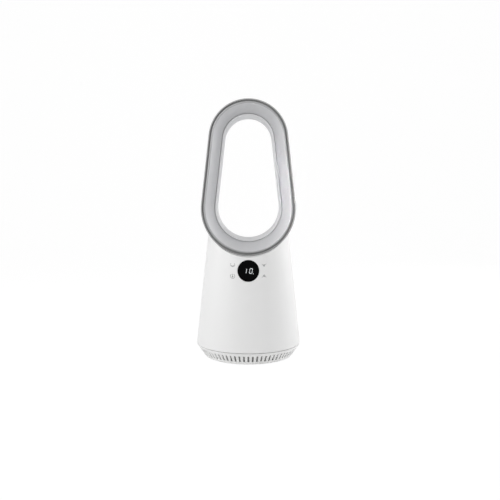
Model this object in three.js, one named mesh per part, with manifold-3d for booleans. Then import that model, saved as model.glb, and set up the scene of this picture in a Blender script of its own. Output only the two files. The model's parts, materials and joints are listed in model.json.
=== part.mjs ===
// A free-standing bladeless fan: a slotted base, a conical body that swings on it, and a tall
// hollow air loop. A mixed-flow impeller low in the body draws air in through the base slots
// and blows it up into the loop, which lets it out through a narrow slot behind its flare.
// Millimetres, +Z up, front towards -Y, origin on the floor under the centre of the base.

import * as THREE from 'three';
import { mergeVertices } from 'three/addons/utils/BufferGeometryUtils.js';
import Module from 'manifold-3d';

const wasm = await Module();
wasm.setup();

// ---------------------------------------------------------------- general clearances
const seatGap = 0.3; // between two pieces that touch
const screwGap = 0.4; // round a screw or a pin in its hole
const windowGap = 0.3; // round the display window in its opening
const loopGap = 0.4; // between the loop and the saddle it lies in

// ---------------------------------------------------------------- feet and base
const footDiameter = 16;
const footProud = 2; // how far the feet hold the base off the floor
const footThickness = 3.7;
const footInset = 21.2; // centres of the feet inside the ring's lower edge
const footCount = 4;

const plateThickness = 4;
const ringBottomRadius = 105.2;
const ringTopRadius = 124;
const ringHeight = 29;
const ringWall = 2.6;
const ringLip = 2.7; // upright lip that hides the slide ring
const ringLipHeight = 3;
const ledgeThickness = 2.4; // the two inward ledges of the base ring
const lowerLedgeWidth = 11.2; // ledge that lies on the plate, from the ring's lower edge
const upperLedgeWidth = 14; // ledge that carries the slide ring, from the ring's upper edge
const slotCount = 72;
const slotWidth = 4;
const slotRise = 7; // lower end of a slot above the bottom of the ring
const slotHeadroom = 1.6; // between the slots and the upper ledge
const slotsAtInlet = 5; // slots that give way to the power inlet at the back
const slideRingThickness = 2.4;
const slideRingWidth = 9;

const baseScrewInset = 7.2; // inside the ring's lower edge
const baseScrewCount = 3;
const baseScrewBoss = 4; // radius
const baseScrewBossHeight = 9;

// ---------------------------------------------------------------- swing drive
const pivotRadius = 15;
const pivotBore = 6;
const pivotShoulder = 17.5;
const pivotShoulderTop = 15.7; // the fixed gear rests on it
const pivotTop = 42;
const leadNotchWidth = 8.4; // where the mains lead enters the hollow pivot
const leadNotchHeight = 7.4;
const gearModule = 1.5;
const gearTeeth = 36;
const pinionTeeth = 14;
const gearAddendum = 0.8; // in modules
const gearDedendum = 1.15; // in modules
const gearBacklash = 0.35;
const pressureAngle = THREE.MathUtils.degToRad(20);
const gearThickness = 8;
const pinionThickness = 6.5;
const pinionShaftRadius = 2.5;
const swingMotorRadius = 17.5;
const swingMotorHeight = 16;
const swingMotorEarReach = 24;
const swingMotorEarThickness = 1.8;
const swingMotorScrewReach = 21;
const pivotNeckRadius = 11.5; // threaded end that takes the nut
const pivotNutRadius = 19;
const pivotNutThickness = 3.5;

// ---------------------------------------------------------------- turntable
const swingGap = 1.2; // visible running gap between the base ring and the body
const turntableThickness = 3.3;
const turntableHub = 18.8; // outer radius of the collar round the pivot
const turntableDeck = 58; // radius of the closed middle deck
const turntableRimInset = 27.2; // inner edge of the outer rim, from the body's lower edge
const spokeCount = 6;
const spokeWidth = 15;
const damperPostInset = 21.2; // from the body's lower edge
const damperPostRadius = 5;
const damperPostHeight = 27.7;
const damperPinRadius = 2.5;
const damperPinLength = 15.5;
const damperCount = 3;
const damperRadius = 8;
const damperHeight = 8;

// ---------------------------------------------------------------- body
const bodyOverhang = 0.2; // the body stands out past the base ring
const bodyTaper = THREE.MathUtils.degToRad(6.33); // the cone leans in by this angle
const bodyWall = 2.8;
const bodyFrontHeight = 213.8; // from the body's lower edge to the foot of the loop
const shoulderRise = 50; // height of the body's two shoulders above the foot of the loop
const saddleWall = 2.8;
const shellBossInset = 20.2; // from the body's lower edge
const shellBossRadius = 4.5;
const shellBossHeight = 25;
const shellScrewCount = 3;

// ---------------------------------------------------------------- air loop
const loopLowerRadius = 108;
const loopUpperRadius = 90;
const loopCentreSpacing = 156; // between the centres of the lower and the upper round
const loopDepth = 140;
const loopWall = 2.8;
const loopEdge = 0.7; // small bevel on the front lip
const grooveWidth = 3.4; // dark groove between the front lip and the flare
const grooveDepth = 10;
const trimThickness = 5; // the trim fills the back of the groove
const flareWall = 2.5;
const flareBead = 3.9; // width of the flare's front bead
const flareStep = 1.2; // how far the bead stands in front of the slope
const flareWidth = 18.8; // radial width of the sloped face
const flareDepth = 27.2; // depth of the sloped face
const flareCrown = 1.4; // how far the sloped face bulges
const airSlot = 1.5; // width of the gap that the air leaves by
const slotCurl = 4.2; // how far the flare curls back behind the slot
const tunnelWall = 2.5;
const tunnelLip = 1.1; // thickness of the tunnel at the slot
const tunnelDraft = 1.6; // how much the tunnel narrows towards the back
const backSeamOffset = 17; // seam between the outer shell and the tunnel, seen from behind
const backRoundDepth = 18; // rounding of the back edge, along Y
const neckRadius = 51.5;
const neckWall = 2.6;
const neckLength = 22; // below the foot of the loop
const loopScrewX = 64;
const loopScrewY = 38;
const loopScrewBoss = 5;
const loopBossHeight = 17;
const saddleBossRadius = 6.5;
const saddleBossDrop = 10;

// ---------------------------------------------------------------- fan unit
const housingInletHeight = 27.5; // bell mouth above the turntable
const bellMouthRadius = 66;
const throatRadius = 52;
const throatRise = 14; // throat above the bell mouth
const shroudRadius = 67; // at the top of the impeller
const shroudRise = 40; // from the throat to the top of the impeller
const housingStep = 3; // the diffuser ring sits in this step
const housingStraight = 69; // straight barrel above the impeller
const housingWall = 2.4;
const earThickness = 3;
const earWidth = 14;
const impellerBlades = 7;
const diffuserVanes = 7;
const bladeThickness = 1.6;
const bladeSweep = THREE.MathUtils.degToRad(58);
const vaneSweep = THREE.MathUtils.degToRad(-34);
const tipGap = 1; // between blade tips and housing
const bladeRise = 3.1; // blades start above the throat
const bladeDrop = 1.8; // and end below the hub's upper edge
const bladeRoot = 1.3; // how far a blade runs into the hub's wall
const bladePhase = 0.21; // turns the blades off the facets of the hub, as a share of one blade
const hubNoseRadius = 18;
const hubBackRadius = 43;
const hubWall = 2.4;
const hubSleeve = 9;
const hubSleeveLength = 28;
const diffuserGap = 2.7; // running gap between the impeller and the diffuser
const diffuserHubRadius = 46;
const diffuserRingHeight = 40;
const diffuserCupHeight = 47;
const diffuserWall = 2.4;
const shaftRadius = 3;
const bearingTubeRadius = 8;
const bearingTubeWall = 1.8;
const bearingFlange = 5; // how far the tube's flange reaches out
const bearingWidth = 4;
const statorRadius = 26;
const statorHeight = 12;
const statorTeeth = 6;
const magnetGap = 0.6;
const magnetThickness = 3.6;
const rotorWall = 1.8;
const rotorCollar = 2; // height of the collar that grips the shaft
const motorCapHeight = 19;

// ---------------------------------------------------------------- duct
const ductWall = 2.4;
const ductSocket = 12; // overlap with the housing
const ductNeckSocket = 14.5;
const gasketThickness = 2.5;

// ---------------------------------------------------------------- display and touch keys
const displayDrop = 30; // centre of the window below the foot of the loop
const windowDiameter = 48.5;
const windowThickness = 2.6;
const displayBoardWidth = 80;
const displayBoardHeight = 48;
const boardThickness = 1.6;
const displayBoardDepth = 12.5; // behind the body's front surface
const keySpacingX = 35.4; // key centres either side of the window
const keySpacingZ = 12.4; // key centres above and below the middle of the window
const touchPadRadius = 3;
const digitModuleWidth = 28;
const digitModuleHeight = 17;

// ---------------------------------------------------------------- electrics
const controlBoardWidth = 70;
const controlBoardHeight = 54;
const controlBoardRise = 62; // above the bell mouth
const controlBoardStandoff = 4;
const inletWidth = 24;
const inletHeadroom = 1.1; // between the inlet and the upper ledge
const inletDepth = 14;
const inletRecess = 5.5; // radius
const inletRecessDepth = 7;
const inletSocket = 3.1; // radius of the socket in the floor of the recess
const inletPin = 1.1; // radius of its centre pin
const inletWall = 2; // behind the socket
const inletSetback = 1; // behind the face of the base ring
const mainLeadRadius = 2.5;
const powerLeadRadius = 2;
const wireRadius = 1.6;

// ---------------------------------------------------------------- fasteners
const screwRadius = 1.5;
const screwHeadRadius = 3;
const screwHeadHeight = 1.9;

// ---------------------------------------------------------------- facets
const bodyFacets = 60;
const hollowFacets = 36;
const baseFacets = 36;
const fanFacets = 24;
const rotorFacets = 18;
const smallFacets = 12;
const bossFacets = 8;
const screwFacets = 6;
const upperArcSteps = 12;
const lowerArcSteps = 18;

// ---------------------------------------------------------------- places worked out from the above
const bodyBottomRadius = ringTopRadius + bodyOverhang;
const footCircle = ringBottomRadius - footInset;
const lowerLedgeRadius = ringBottomRadius - lowerLedgeWidth;
const upperLedgeRadius = ringTopRadius - upperLedgeWidth;
const baseScrewCircle = ringBottomRadius - baseScrewInset;
const turntableRim = bodyBottomRadius - turntableRimInset;
const damperPostCircle = bodyBottomRadius - damperPostInset;
const shellBossCircle = bodyBottomRadius - shellBossInset;
const ringBottom = footProud;
const plateTop = ringBottom + plateThickness;
const ringTop = ringBottom + ringHeight;
const slideLedgeTop = ringTop - ringLipHeight;
const upperLedgeBottom = slideLedgeTop - ledgeThickness;
const slotHeight = upperLedgeBottom - slotHeadroom - ringBottom - slotRise;
const slideRingTop = slideLedgeTop + seatGap + slideRingThickness;
const turntableBottom = slideRingTop + seatGap;
const turntableTop = turntableBottom + turntableThickness;
const bodyBottom = ringTop + swingGap;
const loopFoot = bodyBottom + bodyFrontHeight;
const displayHeight = loopFoot - displayDrop;
const lowerCentreZ = loopFoot + loopLowerRadius;
const upperCentreZ = lowerCentreZ + loopCentreSpacing;
const shoulderTop = loopFoot + shoulderRise;
const loopFront = -loopDepth / 2;
const loopBack = loopDepth / 2;
const gearBottom = pivotShoulderTop + seatGap;
const gearTop = gearBottom + gearThickness;
const pinionDistance = (gearModule * (gearTeeth + pinionTeeth)) / 2;
const pinionBottom = gearBottom + (gearThickness - pinionThickness) / 2;
const pinionTop = pinionBottom + pinionThickness;
const swingMotorBottom = turntableTop + seatGap;
const swingMotorTop = swingMotorBottom + swingMotorHeight;
const pivotNutBottom = pivotTop + seatGap;
const pivotNutTop = pivotNutBottom + pivotNutThickness;
const damperBottom = turntableTop + damperPostHeight + seatGap;
const earBottom = damperBottom + damperHeight + seatGap;
const bellMouthZ = turntableTop + housingInletHeight;
const throatZ = bellMouthZ + throatRise;
const shroudTopZ = throatZ + shroudRise;
const diffuserSeatZ = shroudTopZ + housingStep;
const housingTop = diffuserSeatZ + housingStraight;
const housingInner = shroudRadius + housingStep;
const housingOuter = housingInner + housingWall;
const diffuserBottom = diffuserSeatZ + seatGap;
const impellerBottom = throatZ - 4;
const impellerTop = diffuserBottom - diffuserGap;
const cupTop = diffuserBottom + diffuserCupHeight;
const diffuserFloorTop = diffuserBottom + diffuserWall;
const ductBottom = housingTop - ductSocket;
const neckBottom = loopFoot - neckLength;
const neckInner = neckRadius - neckWall;
const hubBore = shaftRadius + seatGap;

// ---------------------------------------------------------------- materials
const finish = {
  whiteShell: { color: 0xf1f1f0, roughness: 0.42, metalness: 0 },
  whiteBase: { color: 0xeeeeed, roughness: 0.5, metalness: 0 },
  silverLoop: { color: 0xb4b5b8, roughness: 0.36, metalness: 0.35 },
  darkTrim: { color: 0x55565a, roughness: 0.45, metalness: 0 },
  blackGloss: { color: 0x0a0a0b, roughness: 0.08, metalness: 0 },
  blackPlastic: { color: 0x1c1c1e, roughness: 0.5, metalness: 0 },
  greyPlastic: { color: 0x8f9296, roughness: 0.55, metalness: 0 },
  ivoryPlastic: { color: 0xe4e0d2, roughness: 0.4, metalness: 0 },
  rubber: { color: 0x2b2b2d, roughness: 0.85, metalness: 0 },
  steel: { color: 0xb9bcc0, roughness: 0.35, metalness: 1 },
  brass: { color: 0xb89a55, roughness: 0.35, metalness: 1 },
  laminations: { color: 0x6d7075, roughness: 0.5, metalness: 1 },
  copper: { color: 0xb36a3c, roughness: 0.4, metalness: 1 },
  ferrite: { color: 0x3a3a3d, roughness: 0.7, metalness: 0 },
  circuitBoard: { color: 0x1f6b43, roughness: 0.5, metalness: 0 },
  blackWire: { color: 0x1a1a1b, roughness: 0.6, metalness: 0 },
};

// ---------------------------------------------------------------- solids from three.js geometry
function manifoldOf(geometry, turned) {
  const bare = geometry.clone();
  bare.deleteAttribute('normal');
  bare.deleteAttribute('uv');
  const merged = mergeVertices(bare, 1e-4);
  const triVerts = new Uint32Array(merged.index.array);
  if (turned) triVerts.reverse();
  return new wasm.Manifold(
    new wasm.Mesh({ numProp: 3, vertProperties: merged.attributes.position.array, triVerts }),
  );
}

// A closed geometry as a solid whose faces point outwards, whichever way it was wound.
function solid(geometry) {
  const made = manifoldOf(geometry, false);
  return made.volume() < 0 ? manifoldOf(geometry, true) : made;
}

function geometryOf(made) {
  const mesh = made.getMesh();
  const geometry = new THREE.BufferGeometry();
  const position = new Float32Array(mesh.numVert * 3);
  for (let i = 0; i < mesh.numVert; i++) {
    position.set(mesh.vertProperties.subarray(i * mesh.numProp, i * mesh.numProp + 3), i * 3);
  }
  geometry.setAttribute('position', new THREE.BufferAttribute(position, 3));
  geometry.setIndex(new THREE.BufferAttribute(mesh.triVerts, 1));
  return geometry;
}

function box(x0, x1, y0, y1, z0, z1) {
  const geometry = new THREE.BoxGeometry(x1 - x0, y1 - y0, z1 - z0);
  geometry.translate((x0 + x1) / 2, (y0 + y1) / 2, (z0 + z1) / 2);
  return solid(geometry);
}

// A profile of [radius, height] pairs turned about Z. It starts and ends on the axis, or it
// closes on itself. offset turns the facets, as a share of one facet.
function turned(profile, facets, { x = 0, y = 0, offset = 0 } = {}) {
  const points = profile.map(([r, z]) => new THREE.Vector2(r, z));
  const onAxis = profile[0][0] === 0 && profile.at(-1)[0] === 0;
  if (!onAxis) points.push(points[0].clone());
  const start = (offset * 2 * Math.PI) / facets;
  const geometry = new THREE.LatheGeometry(points, facets, start, 2 * Math.PI);
  geometry.rotateX(Math.PI / 2);
  geometry.translate(x, y, 0);
  return solid(geometry);
}

function rod(radius, z0, z1, { x = 0, y = 0, facets = smallFacets } = {}) {
  return turned([[0, z0], [radius, z0], [radius, z1], [0, z1]], facets, { x, y });
}

function washer(inner, outer, z0, z1, { x = 0, y = 0, facets = smallFacets } = {}) {
  return turned([[inner, z0], [outer, z0], [outer, z1], [inner, z1]], facets, { x, y });
}

// A rod along Y.
function crossRod(radius, y0, y1, x, z, facets = smallFacets) {
  const geometry = new THREE.CylinderGeometry(radius, radius, y1 - y0, facets);
  geometry.translate(x, (y0 + y1) / 2, z);
  return solid(geometry);
}

// A flat outline of [x, y] pairs raised from z0 to z1, with an optional round bore on the axis.
function raised(outline, z0, z1, bore = 0) {
  const shape = new THREE.Shape(outline.map(([x, y]) => new THREE.Vector2(x, y)));
  if (bore > 0) {
    const ring = Array.from({ length: baseFacets }, (_, i) => onCircle(bore, (360 / baseFacets) * i));
    shape.holes.push(new THREE.Path(ring.map(([x, y]) => new THREE.Vector2(x, y))));
  }
  const geometry = new THREE.ExtrudeGeometry(shape, { depth: z1 - z0, bevelEnabled: false });
  geometry.translate(0, 0, z0);
  return solid(geometry);
}

function turnedAboutZ(made, angle) {
  const geometry = geometryOf(made);
  geometry.rotateZ(angle);
  return solid(geometry);
}

// A wire or lead of round section through the given points.
function wire(points, radius, steps, sides = 8) {
  const stops = points.map((p) => new THREE.Vector3(...p));
  const path = new THREE.CatmullRomCurve3(stops, false, 'centripetal');
  const section = new THREE.Shape();
  for (let i = 0; i < sides; i++) {
    const angle = (2 * Math.PI * i) / sides;
    const at = [radius * Math.cos(angle), radius * Math.sin(angle)];
    if (i === 0) section.moveTo(...at);
    else section.lineTo(...at);
  }
  return solid(new THREE.ExtrudeGeometry(section, { steps, extrudePath: path, bevelEnabled: false }));
}

function onCircle(radius, degrees) {
  const angle = THREE.MathUtils.degToRad(degrees);
  return [radius * Math.cos(angle), radius * Math.sin(angle)];
}

// ---------------------------------------------------------------- mesh making
function named(name, look, made) {
  const mesh = new THREE.Mesh(geometryOf(made), new THREE.MeshStandardMaterial(finish[look]));
  mesh.name = name;
  mesh.geometry.computeVertexNormals();
  return mesh;
}

function screw(x, y, headBottom, headUp, length) {
  const tip = headUp ? headBottom - length : headBottom + screwHeadHeight + length;
  const headTop = headBottom + screwHeadHeight;
  const profile = headUp
    ? [[0, tip], [screwRadius, tip], [screwRadius, headBottom], [screwHeadRadius, headBottom],
       [screwHeadRadius, headTop], [0, headTop]]
    : [[0, headBottom], [screwHeadRadius, headBottom], [screwHeadRadius, headTop],
       [screwRadius, headTop], [screwRadius, tip], [0, tip]];
  return turned(profile, screwFacets, { x, y });
}

// ---------------------------------------------------------------- base
// Radius of the base ring's outer face at a height.
function ringRadiusAt(z) {
  const share = (z - ringBottom) / ringHeight;
  return ringBottomRadius + (ringTopRadius - ringBottomRadius) * share;
}

const ringLean = Math.atan2(ringTopRadius - ringBottomRadius, ringHeight);
const ringWallAcross = ringWall / Math.cos(ringLean); // wall measured level
const baseScrewAngles = Array.from({ length: baseScrewCount }, (_, i) => 30 + (360 / baseScrewCount) * i);
const footAngles = Array.from({ length: footCount }, (_, i) => 45 + (360 / footCount) * i);
const plateRadius = ringBottomRadius - ringWallAcross - seatGap;
const ledgeBottom = plateTop + seatGap;
const ledgeTop = ledgeBottom + ledgeThickness;

function makeFoot(degrees) {
  const [x, y] = onCircle(footCircle, degrees);
  return rod(footDiameter / 2, 0, footThickness, { x, y });
}

// The plate closes the base from below and carries the hollow pivot that the body swings on.
function makeBasePlate() {
  let plate = turned(
    [[0, ringBottom], [plateRadius, ringBottom], [plateRadius, plateTop], [pivotShoulder, plateTop],
     [pivotShoulder, pivotShoulderTop], [pivotRadius, pivotShoulderTop], [pivotRadius, pivotTop],
     [pivotNeckRadius, pivotTop], [pivotNeckRadius, pivotNutTop], [0, pivotNutTop]],
    baseFacets,
  );
  plate = plate.subtract(rod(pivotBore, plateTop, pivotNutTop + 1));
  const notch = leadNotchWidth / 2;
  const notchTop = plateTop + seatGap + leadNotchHeight;
  plate = plate.subtract(box(-notch, notch, 0, pivotShoulder + 1, plateTop + seatGap, notchTop));
  for (const degrees of footAngles) {
    const [x, y] = onCircle(footCircle, degrees);
    const pocketTop = footThickness + seatGap;
    plate = plate.subtract(rod(footDiameter / 2 + seatGap, ringBottom - 1, pocketTop, { x, y }));
  }
  for (const degrees of baseScrewAngles) {
    const [x, y] = onCircle(baseScrewCircle, degrees);
    const headRoom = ringBottom + screwHeadHeight + 2 * seatGap;
    plate = plate.subtract(rod(screwRadius + screwGap, 0, plateTop + 1, { x, y, facets: screwFacets }));
    plate = plate.subtract(rod(screwHeadRadius + screwGap, 0, headRoom, { x, y, facets: screwFacets }));
  }
  return plate;
}

// The tapering ring round the base, with the row of upright air slots.
function makeBaseGrille() {
  const lipInner = ringTopRadius - ringLip;
  let grille = turned(
    [[lowerLedgeRadius, ledgeBottom], [plateRadius + seatGap, ledgeBottom],
     [plateRadius + seatGap, ringBottom], [ringBottomRadius, ringBottom], [ringTopRadius, ringTop],
     [lipInner, ringTop],
     [lipInner, slideLedgeTop], [upperLedgeRadius, slideLedgeTop], [upperLedgeRadius, upperLedgeBottom],
     [ringRadiusAt(upperLedgeBottom) - ringWallAcross, upperLedgeBottom],
     [ringRadiusAt(ledgeTop) - ringWallAcross, ledgeTop], [lowerLedgeRadius, ledgeTop]],
    slotCount,
    { offset: 0.5 },
  );
  for (const degrees of baseScrewAngles) {
    const [x, y] = onCircle(baseScrewCircle, degrees);
    const bossTop = ledgeBottom + baseScrewBossHeight;
    grille = grille.add(rod(baseScrewBoss, ledgeBottom, bossTop, { x, y, facets: bossFacets }));
    grille = grille.subtract(rod(screwRadius + screwGap, 0, bossTop - 1, { x, y, facets: screwFacets }));
  }
  const slotLow = ringBottom + slotRise;
  const inner = ringRadiusAt(slotLow) - ringWallAcross - 3;
  const outer = ringRadiusAt(slotLow + slotHeight) + 3;
  const slot = box(-slotWidth / 2, slotWidth / 2, -outer, -inner, slotLow, slotLow + slotHeight);
  const skipped = (slotsAtInlet - 1) / 2;
  for (let i = 0; i < slotCount; i++) {
    if (Math.abs(i - slotCount / 2) <= skipped) continue;
    grille = grille.subtract(turnedAboutZ(slot, (2 * Math.PI * i) / slotCount));
  }
  const half = inletWidth / 2 + seatGap;
  const notchTop = inletBottom + inletHeight + seatGap;
  return grille.subtract(box(-half, half, inletBack - 4, ringTopRadius + 5, ledgeTop, notchTop));
}

const slideRingOuter = ringTopRadius - ringLip - screwGap;
function makeSlideRing() {
  const bottom = slideLedgeTop + seatGap;
  const inner = slideRingOuter - slideRingWidth;
  return washer(inner, slideRingOuter, bottom, slideRingTop, { facets: baseFacets });
}

// ---------------------------------------------------------------- power inlet and its lead
const inletBottom = ledgeTop + seatGap;
const inletHeight = upperLedgeBottom - inletHeadroom - inletBottom;
const inletZ = inletBottom + inletHeight / 2;
const inletFace = ringRadiusAt(inletZ) - inletSetback; // at the height of its middle
const inletBack = inletFace - inletDepth;

// A block with a round socket in it. Its face follows the slope of the ring round it.
function makePowerInlet() {
  const half = inletWidth / 2;
  const floor = inletFace - inletRecessDepth;
  const deep = inletBack + inletWall;
  const past = ringTopRadius;
  const face = bodyCone(ringBottom, ringTop, (z) => ringRadiusAt(z) - inletSetback, slotCount);
  let inlet = box(-half, half, inletBack, past, inletBottom, inletBottom + inletHeight).intersect(face);
  inlet = inlet.subtract(crossRod(inletRecess, floor, past, 0, inletZ));
  inlet = inlet.subtract(crossRod(inletSocket, deep, floor + 1, 0, inletZ));
  return inlet.add(crossRod(inletPin, deep - 1, floor - seatGap, 0, inletZ));
}

function makeMainsLead() {
  const low = plateTop + seatGap + mainLeadRadius + 0.5;
  return wire(
    [[0, inletBack - seatGap, inletZ], [0, inletBack - 8, inletZ - 1], [0, inletBack - 22, low],
     [0, inletBack / 2, low], [0, pivotRadius - 1, low], [0, pivotBore + 1.5, low + 0.3],
     [0, mainLeadRadius, low + 2.2], [0, 0.4, low + 6.5],
     [0, 0, low + 12], [0, 0, leadJointZ - seatGap / 2]],
    mainLeadRadius,
    24,
    6,
  );
}

// ---------------------------------------------------------------- swing gear, pinion and motor
// Half the angle that a tooth takes up at a radius, from the involute.
function toothHalfAngle(teeth, radius) {
  const pitch = (gearModule * teeth) / 2;
  const involute = (a) => Math.tan(a) - a;
  const base = pitch * Math.cos(pressureAngle);
  const there = Math.acos(Math.min(1, base / radius));
  const atPitch = (Math.PI * pitch) / teeth / 2 - gearBacklash / 2;
  return atPitch / pitch + involute(pressureAngle) - involute(there);
}

function gearOutline(teeth, firstTooth) {
  const pitch = (gearModule * teeth) / 2;
  const tip = pitch + gearAddendum * gearModule;
  const root = pitch - gearDedendum * gearModule;
  const base = pitch * Math.cos(pressureAngle);
  const outline = [];
  for (let i = 0; i < teeth; i++) {
    const middle = firstTooth + (2 * Math.PI * i) / teeth;
    const foot = toothHalfAngle(teeth, Math.max(root, base));
    const crest = toothHalfAngle(teeth, tip);
    const corners = [[root, -foot], [tip, -crest], [tip, crest], [root, foot]];
    for (const [radius, turn] of corners) {
      outline.push([radius * Math.cos(middle + turn), radius * Math.sin(middle + turn)]);
    }
  }
  return outline;
}

function makeSwingGear() {
  const outline = gearOutline(gearTeeth, Math.PI / 2);
  return raised(outline, gearBottom, gearTop, pivotRadius + seatGap);
}

// The pinion meshes with a gap towards the fixed gear, so half a tooth away from it.
function makeSwingPinion() {
  const outline = gearOutline(pinionTeeth, -Math.PI / 2 + Math.PI / pinionTeeth);
  const moved = outline.map(([x, y]) => [x, y + pinionDistance]);
  const shaftTop = swingMotorBottom + swingMotorHeight / 2 - 1;
  const shaft = rod(pinionShaftRadius, pinionTop - 1, shaftTop, { y: pinionDistance });
  return raised(moved, pinionBottom, pinionTop).add(shaft);
}

function makeSwingMotor() {
  const bore = pinionShaftRadius + seatGap;
  const boreTop = swingMotorBottom + swingMotorHeight / 2;
  const can = turned(
    [[0, boreTop], [bore, boreTop], [bore, swingMotorBottom], [swingMotorRadius, swingMotorBottom],
     [swingMotorRadius, swingMotorTop], [0, swingMotorTop]],
    smallFacets,
    { y: pinionDistance },
  );
  const reach = swingMotorEarReach;
  const earTop = swingMotorBottom + swingMotorEarThickness;
  let ears = box(-reach, reach, pinionDistance - 4, pinionDistance + 4, swingMotorBottom, earTop);
  ears = ears.subtract(rod(swingMotorRadius - 2, swingMotorBottom - 1, earTop + 1, { y: pinionDistance }));
  for (const side of [-1, 1]) {
    const at = { x: side * swingMotorScrewReach, y: pinionDistance, facets: screwFacets };
    ears = ears.subtract(rod(screwRadius + screwGap, swingMotorBottom - 1, earTop + 1, at));
  }
  return can.add(ears);
}

function makeSwingMotorScrew(side) {
  const head = swingMotorBottom + swingMotorEarThickness + seatGap;
  return screw(side * swingMotorScrewReach, pinionDistance, head, true, 5.2);
}

// The nut on the pivot keeps the body from lifting off the base.
function makePivotNut() {
  const outline = Array.from({ length: 8 }, (_, i) => onCircle(pivotNutRadius, 22.5 + 45 * i));
  return raised(outline, pivotNutBottom, pivotNutTop, pivotNeckRadius + seatGap);
}

// ---------------------------------------------------------------- turntable
const damperAngles = Array.from({ length: damperCount }, (_, i) => 90 + (360 / damperCount) * i);
const shellBossAngles = Array.from({ length: shellScrewCount }, (_, i) => 30 + (360 / shellScrewCount) * i);
const clampReach = 29;
const clampLegWidth = 6;
const clampDepth = 10;
const clampBar = 3.5;
const clampBarBottom = pivotNutTop + 2.5; // clear of the nut as the body swings
const leadJointZ = clampBarBottom + clampBar / 2; // where the base's lead meets the body's lead

function makeTurntable() {
  const rim = bodyInnerRadius(turntableTop) * Math.cos(Math.PI / hollowFacets) - seatGap;
  let deck = turned(
    [[pivotRadius + seatGap, turntableBottom], [rim, turntableBottom], [rim, turntableTop],
     [turntableHub, turntableTop], [turntableHub, pivotTop - 0.1], [pivotRadius + seatGap, pivotTop - 0.1]],
    baseFacets,
  );
  const below = turntableBottom - 1;
  const above = turntableTop + 1;
  const window = washer(turntableDeck, turntableRim, below, above, { facets: baseFacets });
  let spokes = null;
  for (let i = 0; i < spokeCount / 2; i++) {
    const bar = box(-turntableRim - 2, turntableRim + 2, -spokeWidth / 2, spokeWidth / 2,
      turntableBottom - 2, turntableTop + 2);
    const placed = turnedAboutZ(bar, Math.PI / 2 + (2 * Math.PI * i) / spokeCount);
    spokes = spokes ? spokes.add(placed) : placed;
  }
  deck = deck.subtract(window.subtract(spokes));
  deck = deck.subtract(rod(pinionShaftRadius + 2, below, above, { y: pinionDistance }));
  for (const side of [-1, 1]) {
    const at = { x: side * swingMotorScrewReach, y: pinionDistance, facets: screwFacets };
    deck = deck.subtract(rod(screwRadius + screwGap, below, above, at));
  }
  for (const degrees of shellBossAngles) {
    const [x, y] = onCircle(shellBossCircle, degrees);
    deck = deck.subtract(rod(screwRadius + screwGap, below, above, { x, y, facets: screwFacets }));
  }
  for (const degrees of damperAngles) {
    const [x, y] = onCircle(damperPostCircle, degrees);
    const postTop = turntableTop + damperPostHeight;
    deck = deck.add(rod(damperPostRadius, turntableTop - 1, postTop, { x, y, facets: bossFacets }));
    const pinTop = postTop + damperPinLength;
    deck = deck.add(rod(damperPinRadius, postTop - 1, pinTop, { x, y, facets: bossFacets }));
  }
  return deck;
}

function makeDamper(degrees) {
  const [x, y] = onCircle(damperPostCircle, degrees);
  const inner = damperPinRadius + seatGap;
  const waist = damperRadius - 1.6;
  const top = damperBottom + damperHeight;
  const profile = [[inner, damperBottom], [damperRadius, damperBottom], [damperRadius, damperBottom + 2],
    [waist, damperBottom + 3], [waist, top - 3], [damperRadius, top - 2], [damperRadius, top], [inner, top]];
  return turned(profile, bossFacets, { x, y });
}

// A bridge over the pivot holds the end of the lead that comes up through it.
function makeLeadClamp() {
  const half = clampDepth / 2;
  const barTop = clampBarBottom + clampBar;
  const foot = turntableTop + seatGap;
  let clamp = box(-clampReach, clampReach, -half, half, foot, barTop);
  const gap = clampReach - clampLegWidth;
  clamp = clamp.subtract(box(-gap, gap, -half - 1, half + 1, foot - 1, clampBarBottom));
  return clamp.subtract(rod(mainLeadRadius + screwGap, clampBarBottom - 1, barTop + 1));
}

// ---------------------------------------------------------------- air loop: its path and its pieces
// The loop's outline is the hull of a large lower round and a smaller upper round. Every piece
// of the loop is a section that runs round it at a fixed offset inwards from that outline.
function loopStations() {
  const lean = Math.asin((loopLowerRadius - loopUpperRadius) / loopCentreSpacing);
  const stations = [];
  for (let i = 0; i <= upperArcSteps; i++) {
    const angle = lean + ((Math.PI - 2 * lean) * i) / upperArcSteps;
    stations.push({ angle, radius: loopUpperRadius, centre: upperCentreZ });
  }
  for (let i = 0; i <= lowerArcSteps; i++) {
    const angle = Math.PI - lean + ((Math.PI + 2 * lean) * i) / lowerArcSteps;
    stations.push({ angle, radius: loopLowerRadius, centre: lowerCentreZ });
  }
  return stations;
}

function loopPoint({ angle, radius, centre }, offset) {
  return [Math.cos(angle) * (radius - offset), centre + Math.sin(angle) * (radius - offset)];
}

// A closed section of [offset, y] pairs carried round the loop.
function loopSweep(section) {
  const stations = loopStations();
  const position = [];
  for (const station of stations) {
    for (const [offset, y] of section) {
      const [x, z] = loopPoint(station, offset);
      position.push(x, y, z);
    }
  }
  const index = [];
  const across = section.length;
  for (let i = 0; i < stations.length; i++) {
    const next = (i + 1) % stations.length;
    for (let j = 0; j < across; j++) {
      const beside = (j + 1) % across;
      const a = i * across + j;
      const b = i * across + beside;
      const c = next * across + beside;
      const d = next * across + j;
      index.push(a, b, c, a, c, d);
    }
  }
  const geometry = new THREE.BufferGeometry();
  geometry.setAttribute('position', new THREE.Float32BufferAttribute(position, 3));
  geometry.setIndex(index);
  return solid(geometry);
}

// The whole of the loop's outline, filled in, at an offset and between two depths.
function loopBlock(offset, y0, y1) {
  const shape = new THREE.Shape(loopStations().map((s) => new THREE.Vector2(...loopPoint(s, offset))));
  const geometry = new THREE.ExtrudeGeometry(shape, { depth: y1 - y0, bevelEnabled: false });
  geometry.rotateX(Math.PI / 2);
  geometry.translate(0, y1, 0);
  return solid(geometry);
}

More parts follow.
